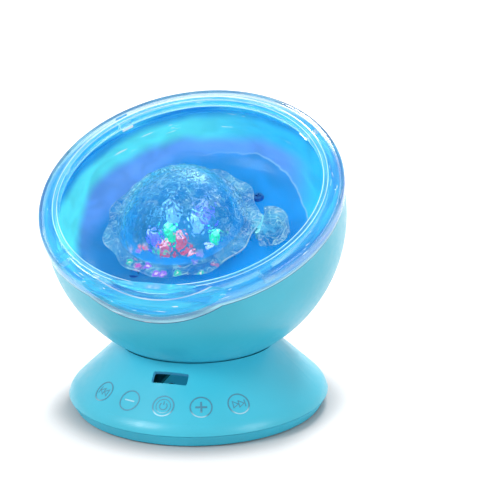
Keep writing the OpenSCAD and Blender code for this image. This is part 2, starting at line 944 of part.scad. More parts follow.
module tilt_stem() {
  color([0.88, 0.88, 0.86])
  in_bowl() on_stem() difference() {
    union() {
      rod(stem_r, -stem_end, -in_r + 1);
      intersection() {
        rod(stem_flange_r, -in_r - 1, -in_r + stem_flange_t + 1);
        sphere(in_r - fit_gap / 2);
      }
    }
    rod(duct_r, -stem_end - 1, -in_r + stem_flange_t + 2);
  }
}

module saddle_shape(r, t, w, l) {
  difference() {
    intersection() {
      sphere(r + t);
      block([-w / 2, -l / 2, -big], [w / 2, l / 2, 0]);
    }
    sphere(r);
    rod(stem_r + fit_gap, -big, 0);
  }
}

module friction_pad() {
  color([0.25, 0.25, 0.27])
  in_bowl() on_stem() saddle_shape(pad_r, pad_t, saddle_w, saddle_l);
}

module tilt_saddle() {
  color([0.88, 0.88, 0.86])
  in_bowl() on_stem() saddle_shape(saddle_r, saddle_t, saddle_w, saddle_l);
}

module spring_washer() {
  r0 = stem_r + 0.2;
  r1 = r0 + 2.2;
  lean = washer_h - 0.8;
  color([0.75, 0.76, 0.78])
  in_bowl() on_stem() rotate_extrude() polygon([
    [r0, -washer_r - lean - 0.8], [r0, -washer_r - lean],
    [r1, -washer_r], [r1, -washer_r - 0.8]
  ]);
}

module stem_nut() {
  color([0.7, 0.71, 0.73])
  in_bowl() on_stem() difference() {
    translate([0, 0, -nut_r - nut_t]) cylinder(r = stem_r + 2.3, h = nut_t, $fn = 6);
    rod(stem_r, -nut_r - nut_t - 1, -nut_r + 1);
  }
}

// ---------------------------------------------------------- dome and drive

function inv(a) = tan(a) * 180 / PI - a;

// Half the angle that a tooth takes at radius r
function tooth_half(r, n) =
  let (pitch = gear_m * n / 2, base = pitch * cos(pressure))
  90 / n - backlash / pitch * 180 / PI + inv(pressure)
  - (r > base ? inv(acos(base / r)) : 0);

module gear_outline(n) {
  pitch = gear_m * n / 2;
  root = pitch - dedendum * gear_m;
  tip = pitch + addendum * gear_m;
  low = max(root, pitch * cos(pressure));
  radii = concat([root], [for (i = [0 : flank_steps]) low + (tip - low) * i / flank_steps]);
  last = len(radii) - 1;
  points = [
    for (k = [0 : n - 1]) for (i = [0 : 2 * last + 1])
      let (j = i <= last ? i : 2 * last + 1 - i, side = i <= last ? -1 : 1)
      if (j > 0 || low - root > eps)
        let (r = radii[j], a = k * 360 / n + side * tooth_half(r, n))
        r * [cos(a), sin(a)]
  ];
  polygon(points);
}

module dome_gear() {
  color([0.8, 0.92, 0.98, 0.6])
  in_bowl() translate(dome_c) difference() {
    translate([0, 0, gear_z]) rotate([0, 0, pinion_dir]) linear_extrude(gear_t)
      gear_outline(gear_teeth);
    rod(spigot_r + run_gap, gear_z - 1, gear_top + 1);
  }
}

// The rippled wall: a ball whose radius waves between foot and top
function ripple_point(r, i, n) =
  let (foot = asin(-(ball_z - gear_top) / ball_r), a = foot + (90 - foot) * i / n)
  let (w = ripple_a * sin(360 * ripple_n * i / n))
  [max(0, (r + w) * cos(a)), ball_z + (r + w) * sin(a)];

module ripple_dome() {
  n = ripple_steps * ripple_n;
  outer = [for (i = [0 : n]) ripple_point(ball_r, i, n)];
  color([0.8, 0.92, 0.98, 0.6])
  in_bowl() translate(dome_c) {
    difference() {
      union() {
        rotate_extrude() polygon(concat([[0, gear_top]], outer));
        translate([0, 0, gear_top]) linear_extrude(flange_t) polygon([
          for (a = [0 : 3 : 357])
            (flange_r + flange_a * sin(flange_n * a)) * [cos(a), sin(a)]
        ]);
      }
      intersection() {
        translate([0, 0, ball_z]) sphere(ball_r - dome_wall);
        rod(big, gear_top - 1, big);
      }
      rod(retainer_r + 0.4, gear_top - 1, gear_top + retainer_t + lift_gap + 0.4);
    }
  }
}

module drive_pinion() {
  color([0.95, 0.95, 0.9])
  in_bowl() translate(pinion_c) difference() {
    translate([0, 0, gear_z]) rotate([0, 0, pinion_dir + 180 + 180 / pinion_teeth])
      linear_extrude(pinion_t) gear_outline(pinion_teeth);
    rod(shaft_r, gear_z - 1, gear_z + gear_t);
  }
}

module motor_shaft() {
  color([0.8, 0.8, 0.82])
  in_bowl() translate(pinion_c)
    rod(shaft_r, -well_z - well_wall - bracket_t - shaft_in, gear_z + pinion_t);
}

base_top_shell();
base_bottom_shell();
rubber_feet();
base_screws();
touch_icons();
touch_board();
touch_pads();
ir_receiver();
main_board();
board_chips();
board_screws();
port_board();
usb_inlet();
audio_jack();
card_slot();
speaker_frame();
speaker_cone();
speaker_magnet();
bowl_shell();
clear_cover();
window_lens();
cover_clips();
reflector();
reflector_screws();
dome_bearing();
dome_retainer();
led_board();
red_leds();
green_leds();
blue_leds();
white_leds();
gear_motor();
motor_bracket();
motor_screws();
pinion_guard();
tilt_stem();
friction_pad();
tilt_saddle();
spring_washer();
stem_nut();
dome_gear();
ripple_dome();
drive_pinion();
motor_shaft();
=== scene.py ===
"""A ripple light projector: finish of its pieces, dome, key symbols, screws and stage."""
import json
import math

import bmesh
import bpy
from bpy.props import FloatProperty, FloatVectorProperty, IntProperty, PointerProperty
from bpy.types import Operator, Panel, PropertyGroup
from mathutils import Matrix, Vector


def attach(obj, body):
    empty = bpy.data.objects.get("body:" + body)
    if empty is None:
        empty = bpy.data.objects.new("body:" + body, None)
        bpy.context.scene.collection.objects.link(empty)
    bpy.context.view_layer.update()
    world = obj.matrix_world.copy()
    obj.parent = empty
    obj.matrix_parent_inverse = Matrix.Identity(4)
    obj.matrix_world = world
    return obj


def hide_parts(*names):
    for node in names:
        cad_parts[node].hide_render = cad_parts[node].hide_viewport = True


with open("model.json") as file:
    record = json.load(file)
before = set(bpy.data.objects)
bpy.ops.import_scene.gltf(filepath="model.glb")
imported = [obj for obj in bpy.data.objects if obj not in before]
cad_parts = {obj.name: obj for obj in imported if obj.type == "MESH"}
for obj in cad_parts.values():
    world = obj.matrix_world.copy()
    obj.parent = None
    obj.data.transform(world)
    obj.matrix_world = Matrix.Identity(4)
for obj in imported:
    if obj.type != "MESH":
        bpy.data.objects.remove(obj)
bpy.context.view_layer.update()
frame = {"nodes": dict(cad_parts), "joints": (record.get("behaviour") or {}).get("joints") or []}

bl_info = {
    "name": "Ripple light projector",
    "version": (1, 0, 0),
    "blender": (4, 5, 0),
    "location": "View3D > Sidebar > Projector",
    "description": "Builds the visible finish of a tilting light projector",
    "category": "Object",
}

MM = 0.001
NODES = frame["nodes"]
JOINTS = {joint["name"]: joint for joint in frame["joints"]}

# The bowl's own axes: origin on the tilt axis, Z out of the window
PIVOT = Vector(JOINTS["bowl_tilt"]["pos_m"])
BOWL_Z = Vector(JOINTS["dome_spin"]["axis"]).normalized()
TILT = math.atan2(-BOWL_Z.y, BOWL_Z.z)
BOWL = Matrix.Translation(PIVOT) @ Matrix.Rotation(TILT, 4, "X")
DOME_FOOT = BOWL.inverted() @ Vector(JOINTS["dome_spin"]["pos_m"])
DOME = BOWL @ Matrix.Translation(Vector((DOME_FOOT.x, DOME_FOOT.y, 0)))

# Slope of the base's cone, on which the keys are printed
CONE_SLOPE = math.radians(43)
CONE_SIN, CONE_COS = math.sin(CONE_SLOPE), math.cos(CONE_SLOPE)
# Middle of the object, which the lights and the camera face
MIDDLE = Vector((0, 0, 0.06))
WHITE = (1.0, 1.0, 1.0)


# ---------------------------------------------------------------- properties

def colour_property(name, description, rgb):
    """A colour that the sidebar shows as a swatch."""
    return FloatVectorProperty(name=name, description=description, default=rgb,
                               subtype="COLOR", size=3, min=0, max=1)


def length_property(name, description, millimetres):
    """A length in metres, given here in millimetres."""
    return FloatProperty(name=name, description=description, default=millimetres * MM,
                         min=0, unit="LENGTH", precision=5)


def share_property(name, description, value, top=1.0):
    """A plain number from nought to top."""
    return FloatProperty(name=name, description=description, default=value, min=0, max=top)


class ShellLooks(PropertyGroup):
    """Satin plastic of the bowl and the base."""
    colour: colour_property("Shell", "Colour of the bowl and the base", (0.052, 0.585, 0.78))
    # Painted light: the bottom shell is the same plastic, lightened to stand in for light
    # bounced up from the floor
    under: colour_property("Underside", "Colour of the bottom shell", (0.055, 0.63, 0.86))
    roughness: share_property("Roughness", "How matt the moulded shells are", 0.36)
    grain: length_property("Grain", "Size of the moulded grain", 0.5)
    # Painted light: the next two colours are glows painted as emission inside the receiver's
    # window
    slot: colour_property("Window wall", "Light on the wall of the receiver's window",
                          (0.02, 0.02, 0.06))
    inside: colour_property("Inside", "Light inside the base, behind that window",
                            (0.008, 0.12, 0.18))
    cone: length_property("Cone", "Distance of the base's cone from its origin", 41.9)
    dish: length_property("Dish radius", "Radius round the pivot beyond the dish's face", 61.8)
    print_colour: colour_property("Print", "Colour of the key print", (0.10, 0.32, 0.46))
    # Painted highlight: a paler copy of the print colour where the print catches the light
    print_highlight: colour_property("Pale print", "Key print where it catches the light",
                                (0.42, 0.72, 0.84))


class KeyLooks(PropertyGroup):
    """Symbols printed inside the key rings."""
    stroke: length_property("Stroke", "Width of a symbol's line", 0.42)
    thickness: length_property("Thickness", "Thickness of the print", 0.1)
    size: length_property("Symbol size", "Half the width of a symbol", 2.1)


class ClearLooks(PropertyGroup):
    """Clear cover, window and clips."""
    tint: colour_property("Tint", "Tint of the clear cover", (0.90, 0.98, 1.0))
    ior: share_property("IOR", "Refraction of the clear cover", 1.34, top=2.5)
    roughness: share_property("Roughness", "Polish of the clear cover", 0.02)
    pane: length_property("Pane radius", "Radius of the window inside its rim", 53.2)
    pane_ior: share_property("Pane IOR", "Refraction of the window's pane", 1.12, top=2.5)
    edge: length_property("Edge height", "Height of the bowl's edge over the tilt axis", 8.3)
    cut: length_property("Cut height", "Where the plane of the cut front meets the bowl's axis",
                         63.785)
    # Painted light from here on: colours painted as emission into the cover and the window
    deep: colour_property("Deep", "Darker streaks of light in the cover", (0.0, 0.24, 0.72))
    bright: colour_property("Bright", "Paler streaks of light in the cover",
                            (0.05, 0.64, 0.95))
    facet: colour_property("Facet", "Light in the lower half of the cut front",
                           (0.06, 0.64, 0.97))
    lip: colour_property("Wall", "Light in the cover's outer wall", (0.34, 0.76, 0.97))
    lilac: colour_property("Wall, right", "Light in the outer wall's right side",
                           (0.36, 0.48, 0.82))
    pale_lip: colour_property("Lip", "Light in the cover's lower edge", (0.42, 0.84, 0.97))
    # Painted shade: a dark line painted at the cover's seam and along the window's crown
    line: colour_property("Seam", "Dark line at the cover's seam", (0.02, 0.11, 0.26))
    rim: colour_property("Rim", "Lines of light in the window's rim", (0.80, 0.96, 1.0))
    # Painted highlights: short glints of the lights painted in the cover
    painted_glint: colour_property("Flashes", "Short bright streaks in the cover", (0.85, 0.96, 1.0))


class ReflectorLooks(PropertyGroup):
    """Glossy blue reflector with the light of its own lamps painted on it."""
    # All colours here are painted light: the lamps' glow on the reflector, given as emission
    azure: colour_property("Floor, right", "Lit floor on the side away from the dome",
                           (0.006, 0.30, 0.83))
    shade: colour_property("Floor, left", "Shaded floor in front of the dome",
                           (0.01, 0.20, 0.52))
    dusk: colour_property("Lower wall, left", "Dim lower wall at the front left",
                          (0.02, 0.24, 0.60))
    violet: colour_property("Lower wall", "Violet band round the floor", (0.11, 0.36, 0.96))
    cyan: colour_property("Wall, left", "Bright band on the left wall", (0.10, 0.84, 1.0))
    pale: colour_property("Wall, right", "Bright band on the right wall", (0.03, 0.55, 1.0))
    rim: colour_property("Rim", "Deep colour under the reflector's rim", (0.015, 0.34, 0.82))
    edge_line: colour_property("Floor's edge", "Line of light along the floor's edge",
                               (0.36, 0.74, 1.0))
    # Painted highlights: short glints painted high on the reflector's wall
    painted_glint: colour_property("Flashes", "Short bright streaks at the back", (0.7, 0.95, 1.0))
    glow: share_property("Glow", "Strength of the lamps' light on the reflector", 0.6)
    daylight: share_property("Daylight", "Share of the colour that the room lights up", 0.3)


class DomeLooks(PropertyGroup):
    """Clear turning dome with a rippled outer face."""
    foot: length_property("Foot radius", "Outer radius of the dome at its foot", 27.8)
    wall: length_property("Wall", "Wall of the dome", 1.3)
    flange: length_property("Flange radius", "Mean radius of the wavy flange", 32.4)
    flange_wave: length_property("Flange waves", "Height of the waves in the flange", 1.3)
    flange_t: length_property("Flange thickness", "Thickness of the flange", 1.2)
    bore: length_property("Bore radius", "Radius of the step that the ring runs in", 26.2)
    step: length_property("Step", "Height of that step over the dome's foot", 1.7)
    depth: length_property("Ripple depth", "Height of the ripples", 0.4)
    cell: length_property("Ripple size", "Width of one ripple", 4.4)
    rings: IntProperty(name="Rings", description="Rings of faces from foot to top",
                       default=96, min=12, max=160)
    spokes: IntProperty(name="Spokes", description="Faces round the dome",
                        default=400, min=48, max=640)
    tint: colour_property("Tint", "Tint of the dome", (0.48, 0.88, 1.0))
    haze: colour_property("Haze", "Colour of the light inside the dome's wall",
                          (0.01, 0.30, 0.52))
    cloud: share_property("Cloud", "Share of that colour in the dome's look", 0.18)
    gleam: colour_property("Gleam", "Colour of the reflections on the dome",
                           (0.2, 0.55, 0.85))
    line: colour_property("Lines", "Colour of the light caught by the creases",
                          (0.45, 0.90, 1.0))
    # Painted light from here on: mirrored lamps, the light in the flange and sparks, painted as
    # emission
    fleck_pink: colour_property("Pink flecks", "Mirrored red lamps", (0.95, 0.07, 0.30))
    fleck_violet: colour_property("Violet flecks", "Mirrored violet lamps",
                                  (0.30, 0.18, 1.0))
    fleck_green: colour_property("Green flecks", "Mirrored green lamps", (0.02, 0.62, 0.55))
    fleck_core: colour_property("Fleck middles", "Middle of a mirrored lamp", (1.0, 0.9, 1.0))
    veil: colour_property("Flange", "Light inside the flange", (0.02, 0.24, 0.66))
    veil_pale: colour_property("Flange, pale", "Brighter light inside the flange",
                               (0.10, 0.46, 0.84))
    spark: colour_property("Sparks", "Colour of the sparks", (0.75, 1.0, 1.0))


class LampLooks(PropertyGroup):
    """Coloured lamps under the dome."""
    red: colour_property("Red", "Colour of the red lamps", (1.0, 0.03, 0.07))
    green: colour_property("Green", "Colour of the green lamps", (0.02, 0.85, 0.25))
    blue: colour_property("Violet", "Colour of the violet lamps", (0.22, 0.10, 1.0))
    white: colour_property("White", "Colour of the white lamps", (0.30, 0.42, 0.80))
    strength: share_property("Strength", "Brightness of the lamps", 2.6, top=50)
    pallor: share_property("Pallor", "How white a lamp's tip is", 0.45)
    tip: FloatProperty(name="Tip", description="Height of a lamp's tip over the tilt axis",
                       default=-13.9 * MM, unit="LENGTH", precision=5)


class StageLooks(PropertyGroup):
    """Floor, soft lights and camera."""
    floor_radius: FloatProperty(name="Floor radius", description="Radius of the floor",
                                default=3.0, min=0.5, unit="LENGTH")
    floor: colour_property("Floor", "Colour of the floor", (0.64, 0.61, 0.61))
    lift_near: share_property("Lift, near", "Whitening of the floor round the object", 0.55)
    lift_far: share_property("Lift, far", "Whitening of the floor far away", 0.85)
    ambient: share_property("Ambient", "Strength of the light from all round", 0.5, top=5)
    lens: FloatProperty(name="Lens", description="Focal length of the camera",
                        default=106.236, min=10, unit="CAMERA")


LOOKS = {
    "shell": ShellLooks, "keys": KeyLooks, "clear": ClearLooks, "reflector": ReflectorLooks,
    "dome": DomeLooks, "lamps": LampLooks, "stage": StageLooks,
}


def looks(name):
    """The scene's settings for one group of pieces."""
    return getattr(bpy.context.scene, "projector_" + name)


# --------------------------------------------------------------------- nodes

class Graph:
    """Adds nodes to a material's or a modifier's tree."""

    def __init__(self, tree):
        self.tree = tree
        tree.nodes.clear()

    def add(self, kind, inputs=None, **settings):
        """A node with its settings, its inputs linked or filled in."""
        node = self.tree.nodes.new(kind)
        for key, value in settings.items():
            setattr(node, key, value)
        for key, value in (inputs or {}).items():
            self.feed(node.inputs[key], value)
        return node

    def feed(self, socket, value):
        """Links a socket, or gives it a plain value or a colour."""
        if isinstance(value, bpy.types.NodeSocket):
            self.tree.links.new(value, socket)
        elif socket.type == "RGBA":
            socket.default_value = (*value, 1.0)
        else:
            socket.default_value = value

    def math(self, operation, first, second=0.0, clamp=False):
        node = self.add("ShaderNodeMath", {0: first, 1: second}, operation=operation,
                        use_clamp=clamp)
        return node.outputs[0]

    def times(self, first, *others):
        """Product of values."""
        for other in others:
            first = self.math("MULTIPLY", first, other)
        return first

    def most(self, first, *others):
        """Largest of values."""
        for other in others:
            first = self.math("MAXIMUM", first, other)
        return first

    def plus(self, first, second):
        return self.math("ADD", first, second)

    def minus(self, first, second):
        return self.math("SUBTRACT", first, second)

    def vector(self, operation, first, second=(0.0, 0.0, 0.0)):
        node = self.add("ShaderNodeVectorMath", {0: first, 1: second}, operation=operation)
        return node.outputs[0]

    def scaled(self, vector, factor):
        node = self.add("ShaderNodeVectorMath", {0: vector, "Scale": factor},
                        operation="SCALE")
        return node.outputs[0]

    def spread(self, value, low, high, to_low=0.0, to_high=1.0, smooth=True):
        """Maps low..high of a value onto another span."""
        node = self.add("ShaderNodeMapRange", {
            "Value": value, "From Min": low, "From Max": high,
            "To Min": to_low, "To Max": to_high,
        }, interpolation_type="SMOOTHSTEP" if smooth else "LINEAR")
        return node.outputs["Result"]

    def fall(self, value, low, high):
        """1 up to the low value, 0 from the high one on."""
        return self.spread(value, low, high, 1, 0)

    def blend(self, factor, first, second):
        """Mixes two colours."""
        node = self.add("ShaderNodeMix", data_type="RGBA")
        # A colour mix has its factor at 0 and its colours at 6 and 7
        for index, value in ((0, factor), (6, first), (7, second)):
            self.feed(node.inputs[index], value)
        return node.outputs[2]

    def parts(self, vector):
        """The X, Y and Z of a vector."""
        return self.add("ShaderNodeSeparateXYZ", {0: vector}).outputs

    def length(self, vector):
        node = self.add("ShaderNodeVectorMath", {0: vector}, operation="LENGTH")
        return node.outputs["Value"]

    def across(self, place):
        """Distance from the Z axis."""
        return self.length(self.vector("MULTIPLY", place, (1, 1, 0)))

    def near(self, value, middle, width):
        """1 where a value is at its middle, 0 from the width on."""
        gap = self.math("ABSOLUTE", self.minus(value, middle))
        return self.fall(gap, 0, width)

    def contours(self, vector, size, width, level=0.5, distortion=0.6):
        """Thin curling lines: where noise crosses a level."""
        waves = self.noise(vector, size, detail=1.0, distortion=distortion)
        return self.near(waves, level, width)

    def round_streaks(self, place, thickness, length):
        """Noise drawn out along the circles round the Z axis; its length holds at the wall."""
        wall_radius = 58 * MM
        flat = self.vector("MULTIPLY", place, (1, 1, 0))
        turn = self.scaled(self.vector("NORMALIZE", flat), wall_radius * thickness / length)
        height = self.vector("MULTIPLY", place, (0, 0, 1))
        node = self.add("ShaderNodeTexNoise", {
            "Vector": self.vector("ADD", turn, height), "W": self.length(flat),
            "Scale": 1 / thickness, "Detail": 2.0, "Roughness": 0.5,
        }, noise_dimensions="4D")
        return node.outputs["Fac"]

    def noise(self, vector, size, detail=2.0, roughness=0.5, output="Fac", distortion=0.0):
        """Noise whose lumps are about "size" metres wide."""
        node = self.add("ShaderNodeTexNoise", {
            "Vector": vector, "Scale": 1 / size, "Detail": detail, "Roughness": roughness,
            "Distortion": distortion,
        })
        return node.outputs[output]


def material_graph(name):
    """A new, empty node material and its graph."""
    material = bpy.data.materials.new(name)
    material.use_nodes = True
    return material, Graph(material.node_tree)


def own_place(graph, matrix=None):
    """Object coordinates, turned into the axes of "matrix" if one is given."""
    place = graph.add("ShaderNodeTexCoord").outputs["Object"]
    if matrix is None:
        return place
    return graph.add("ShaderNodeMapping", {
        "Vector": place, "Location": matrix.to_translation(),
        "Rotation": matrix.to_euler(),
    }, vector_type="TEXTURE").outputs[0]


def finished(material, graph, shader, lit=False):
    """Ends a material; one that is lit is not sampled as a lamp."""
    graph.add("ShaderNodeOutputMaterial", {"Surface": shader})
    if lit:
        material.cycles.emission_sampling = "NONE"
    return material


def moulded_finish(name, rgb, roughness=0.4, grain=0.5 * MM, bump=0.04, shift=0.05,
                   coat=0.0, light=None):
    """Solid plastic or rubber: faint clouding, uneven gloss and a fine grain."""
    material, graph = material_graph(name)
    place = own_place(graph)
    cloud = graph.noise(place, 26 * MM, detail=3)
    shade = graph.spread(cloud, 0.3, 0.7, 1 - shift, 1 + shift)
    colour = graph.scaled(rgb, shade)
    gloss = graph.spread(graph.noise(place, 3 * MM), 0.3, 0.7,
                         roughness * 0.88, roughness * 1.12)
    relief = graph.add("ShaderNodeBump", {
        "Height": graph.noise(place, grain, detail=1), "Strength": bump, "Distance": 0.1 * MM,
    }).outputs[0]
    shader = graph.add("ShaderNodeBsdfPrincipled", {
        "Base Color": colour, "Roughness": gloss, "Normal": relief,
        "Coat Weight": coat, "Coat Roughness": 0.12, **(light(graph, place) if light else {}),
    })
    return finished(material, graph, shader.outputs[0])


def painted_glow_in_window(graph, place):
    """Painted light: a faint glow painted as emission on the base's inside behind the receiver's
    window, at the front.
    """
    look = looks("shell")
    y, z = graph.parts(place)[1:]
    over_cone = graph.plus(graph.times(graph.across(place), CONE_SIN), graph.times(z, CONE_COS))
    depth = graph.minus(look.cone, over_cone)
    from_pivot = graph.length(graph.vector("SUBTRACT", place, PIVOT))
    # Depths under the cone's face, then places along Y and Z, over which it comes or goes
    below_face, window_wall = (0.25 * MM, 0.5 * MM), (2.0 * MM, 2.6 * MM)
    front_half, above_rim = (-12 * MM, -8 * MM), (11 * MM, 13 * MM)
    inside = graph.times(
        graph.spread(depth, *below_face),
        graph.spread(from_pivot, look.dish, look.dish + 0.3 * MM),
        graph.fall(y, *front_half), graph.spread(z, *above_rim))
    hue = graph.blend(graph.spread(depth, *window_wall), look.slot, look.inside)
    return {"Emission Color": hue, "Emission Strength": inside}


def painted_glow_on_inner_floor(graph, place):
    """The same painted glow on the bottom shell's inner floor, seen through the window."""
    look = looks("shell")
    # Radii and heights over which it comes or goes
    floor_edge, floor_height = (40 * MM, 43 * MM), (2.2 * MM, 2.5 * MM)
    lit = graph.times(graph.fall(graph.across(place), *floor_edge),
                      graph.spread(graph.parts(place)["Z"], *floor_height))
    return {"Emission Color": look.inside, "Emission Strength": lit}


def let_light_through(graph, shader, tint):
    """Glass casts a faint tinted shadow instead of a black one."""
    is_shadow = graph.add("ShaderNodeLightPath").outputs["Is Shadow Ray"]
    passing = graph.add("ShaderNodeBsdfTransparent", {"Color": tint})
    mix = graph.add("ShaderNodeMixShader",
                    {0: is_shadow, 1: shader, 2: passing.outputs[0]})
    return mix.outputs[0]


def clear_finish(name, tint, ior, roughness, flow=0.02):
    """Clear moulded plastic with the faint flow marks of its mould."""
    material, graph = material_graph(name)
    place = own_place(graph)
    relief = graph.add("ShaderNodeBump", {
        "Height": graph.noise(place, 9 * MM, detail=1), "Strength": flow,
        "Distance": 0.5 * MM,
    }).outputs[0]
    shader = graph.add("ShaderNodeBsdfPrincipled", {
        "Base Color": tint, "Roughness": roughness, "IOR": ior,
        "Transmission Weight": 1.0, "Normal": relief,
    }).outputs[0]
    return finished(material, graph, let_light_through(graph, shader, tint))


def lit_glass(graph, glass, colour, share, tint, glow=0.5):
    """Clear plastic that takes a share of its look from light painted into it as emission."""
    lit = graph.add("ShaderNodeBsdfPrincipled", {
        "Base Color": graph.scaled(colour, 0.5), "Roughness": 0.12,
        "Emission Color": colour, "Emission Strength": glow,
    }).outputs[0]
    mixed = graph.add("ShaderNodeMixShader", {0: share, 1: glass, 2: lit}).outputs[0]
    return let_light_through(graph, mixed, tint)


def beyond_the_cut(graph, y, z):
    """Distance from the plane of the cover's cut front, which leans 45 degrees."""
    return graph.times(graph.minus(graph.minus(z, y), looks("clear").cut), math.sqrt(0.5))


def lit_cover_finish():
    """Clear cover whose wall has the reflector's blue light painted into it, carried round with
    it.
    """
    look = looks("clear")
    material, graph = material_graph("clear_cover")
    place = own_place(graph, BOWL)
    x, y, z = graph.parts(place)
    radius = graph.across(place)
    # Height over the bowl's edge, square to its level part and to its cut front
    front = beyond_the_cut(graph, y, z)
    height = graph.most(graph.minus(z, look.edge), front)
    # Radii and heights between which the zones of the cover begin or end
    wall_face, wall_top = (60.2 * MM, 61.2 * MM), (4.2 * MM, 6 * MM)
    lip_face, lip_top = (59.8 * MM, 60.4 * MM), (1.0 * MM, 2.9 * MM)
    seam_face, seam_top = (59.0 * MM, 59.4 * MM), (0.35 * MM, 0.6 * MM)
    cut_face, cut_step = (2.9 * MM, 2.98 * MM), (57.0 * MM, 57.5 * MM)
    shoulder, step_line = (10.5 * MM, 12 * MM), (57.2 * MM, 0.3 * MM)
    # Sideways and from front to back: the dim corner, the lilac side and the back
    dim_right, dim_front = (-5 * MM, 30 * MM), (-30 * MM, 5 * MM)
    lilac_side, back = (34 * MM, 58 * MM), (0, 45 * MM)
    glass = graph.add("ShaderNodeBsdfPrincipled", {
        "Base Color": look.tint, "Roughness": look.roughness, "IOR": look.ior,
        "Transmission Weight": 1.0,
    }).outputs[0]
    # Painted streaks of light run round the wall and are weakest at the front right
    streak = graph.round_streaks(place, 2.2 * MM, 30 * MM)
    dim = graph.times(graph.spread(x, *dim_right), graph.fall(y, *dim_front))
    pick = graph.math("SUBTRACT", graph.spread(streak, 0.38, 0.62), graph.times(dim, 0.3),
                      clamp=True)
    colour = graph.blend(pick, look.deep, look.bright)
    wall = graph.times(graph.spread(radius, *wall_face), graph.fall(height, *wall_top))
    outer = graph.blend(graph.spread(x, *lilac_side), look.lip, look.lilac)
    colour = graph.blend(wall, colour, outer)
    facet = graph.spread(front, *cut_face)
    low_facet = graph.times(facet, graph.spread(radius, *cut_step))
    colour = graph.blend(low_facet, colour, look.facet)
    edge_line = graph.times(facet, graph.near(radius, *step_line))
    colour = graph.blend(edge_line, colour, look.rim)
    lip = graph.times(graph.fall(height, *lip_top), graph.spread(radius, *lip_face))
    colour = graph.blend(graph.times(lip, 0.85), colour, look.pale_lip)
    # Painted highlights: short bright glints in the cover
    painted_glint = graph.spread(graph.round_streaks(place, 0.9 * MM, 8 * MM), 0.66, 0.72)
    colour = graph.blend(painted_glint, colour, look.painted_glint)
    # Painted shade: the dark line along the cover's seam with the bowl
    seam = graph.times(graph.fall(height, *seam_top), graph.spread(radius, *seam_face))
    colour = graph.blend(seam, colour, look.line)
    # The inner faces hold the light; the shoulder at the back is nearly clear
    inside = graph.most(graph.spread(radius, *lip_face, 0.8, 0.4), graph.times(lip, 0.88))
    behind = graph.times(graph.spread(y, *back, 1, 0.25), 0.46)
    share = graph.blend(graph.spread(z, *shoulder), inside, behind)
    share = graph.most(share, graph.times(facet, 0.6))
    share = graph.times(share, graph.spread(streak, 0.3, 0.62, 1.25, 0.7))
    share = graph.most(share, graph.times(seam, 0.9), graph.times(painted_glint, 0.85))
    shader = lit_glass(graph, glass, colour, share, look.tint)
    return finished(material, graph, shader, lit=True)


def window_finish():
    """Clear window with thin lines of light painted on its raised rim."""
    look = looks("clear")
    material, graph = material_graph("clear_window")
    place = own_place(graph, BOWL)
    x, y, z = graph.parts(place)
    radius = graph.across(place)
    # Radii of the rim's two edges and its crown, and how wide their light is
    outer_edge, inner_edge, crown = 55.25 * MM, 53.5 * MM, 54.35 * MM
    line_w, crown_w = 0.28 * MM, 0.5 * MM
    rim_top, cut_face = (14.6 * MM, 14.9 * MM), (2.85 * MM, 2.95 * MM)
    front_right = (20 * MM, 50 * MM)
    cut = graph.spread(beyond_the_cut(graph, y, z), *cut_face)
    glass = {"Roughness": look.roughness, "Transmission Weight": 1.0}
    rim = graph.add("ShaderNodeBsdfPrincipled",
                    {**glass, "Base Color": look.tint, "IOR": look.ior}).outputs[0]
    pane = graph.add("ShaderNodeBsdfPrincipled",
                     {**glass, "Base Color": WHITE, "IOR": look.pane_ior}).outputs[0]
    on_rim = graph.spread(radius, look.pane, look.pane + 0.1 * MM)
    shader = graph.add("ShaderNodeMixShader", {0: on_rim, 1: pane, 2: rim}).outputs[0]
    lines = graph.most(graph.near(radius, outer_edge, line_w),
                       graph.near(radius, inner_edge, line_w))
    lines = graph.times(lines, graph.spread(z, *rim_top))
    middle = graph.times(graph.near(radius, crown, crown_w), 0.35)
    streak = graph.round_streaks(place, 3 * MM, 26 * MM)
    share = graph.times(graph.most(lines, middle), graph.spread(streak, 0.35, 0.6, 0.5, 1))
    share = graph.most(share, graph.times(on_rim, 0.2), graph.times(cut, 0.55))
    colour = graph.blend(graph.most(lines, middle), look.bright, look.rim)
    # At the front right the crown shows as a dark line of painted shade
    dark = graph.times(graph.near(radius, crown, crown_w * 1.1),
                       graph.spread(graph.minus(x, y), *front_right))
    colour = graph.blend(dark, colour, look.line)
    share = graph.most(share, graph.times(dark, 0.6))
    colour = graph.blend(cut, colour, look.facet)
    shader = lit_glass(graph, shader, colour, share, look.tint, glow=0.8)
    return finished(material, graph, shader, lit=True)


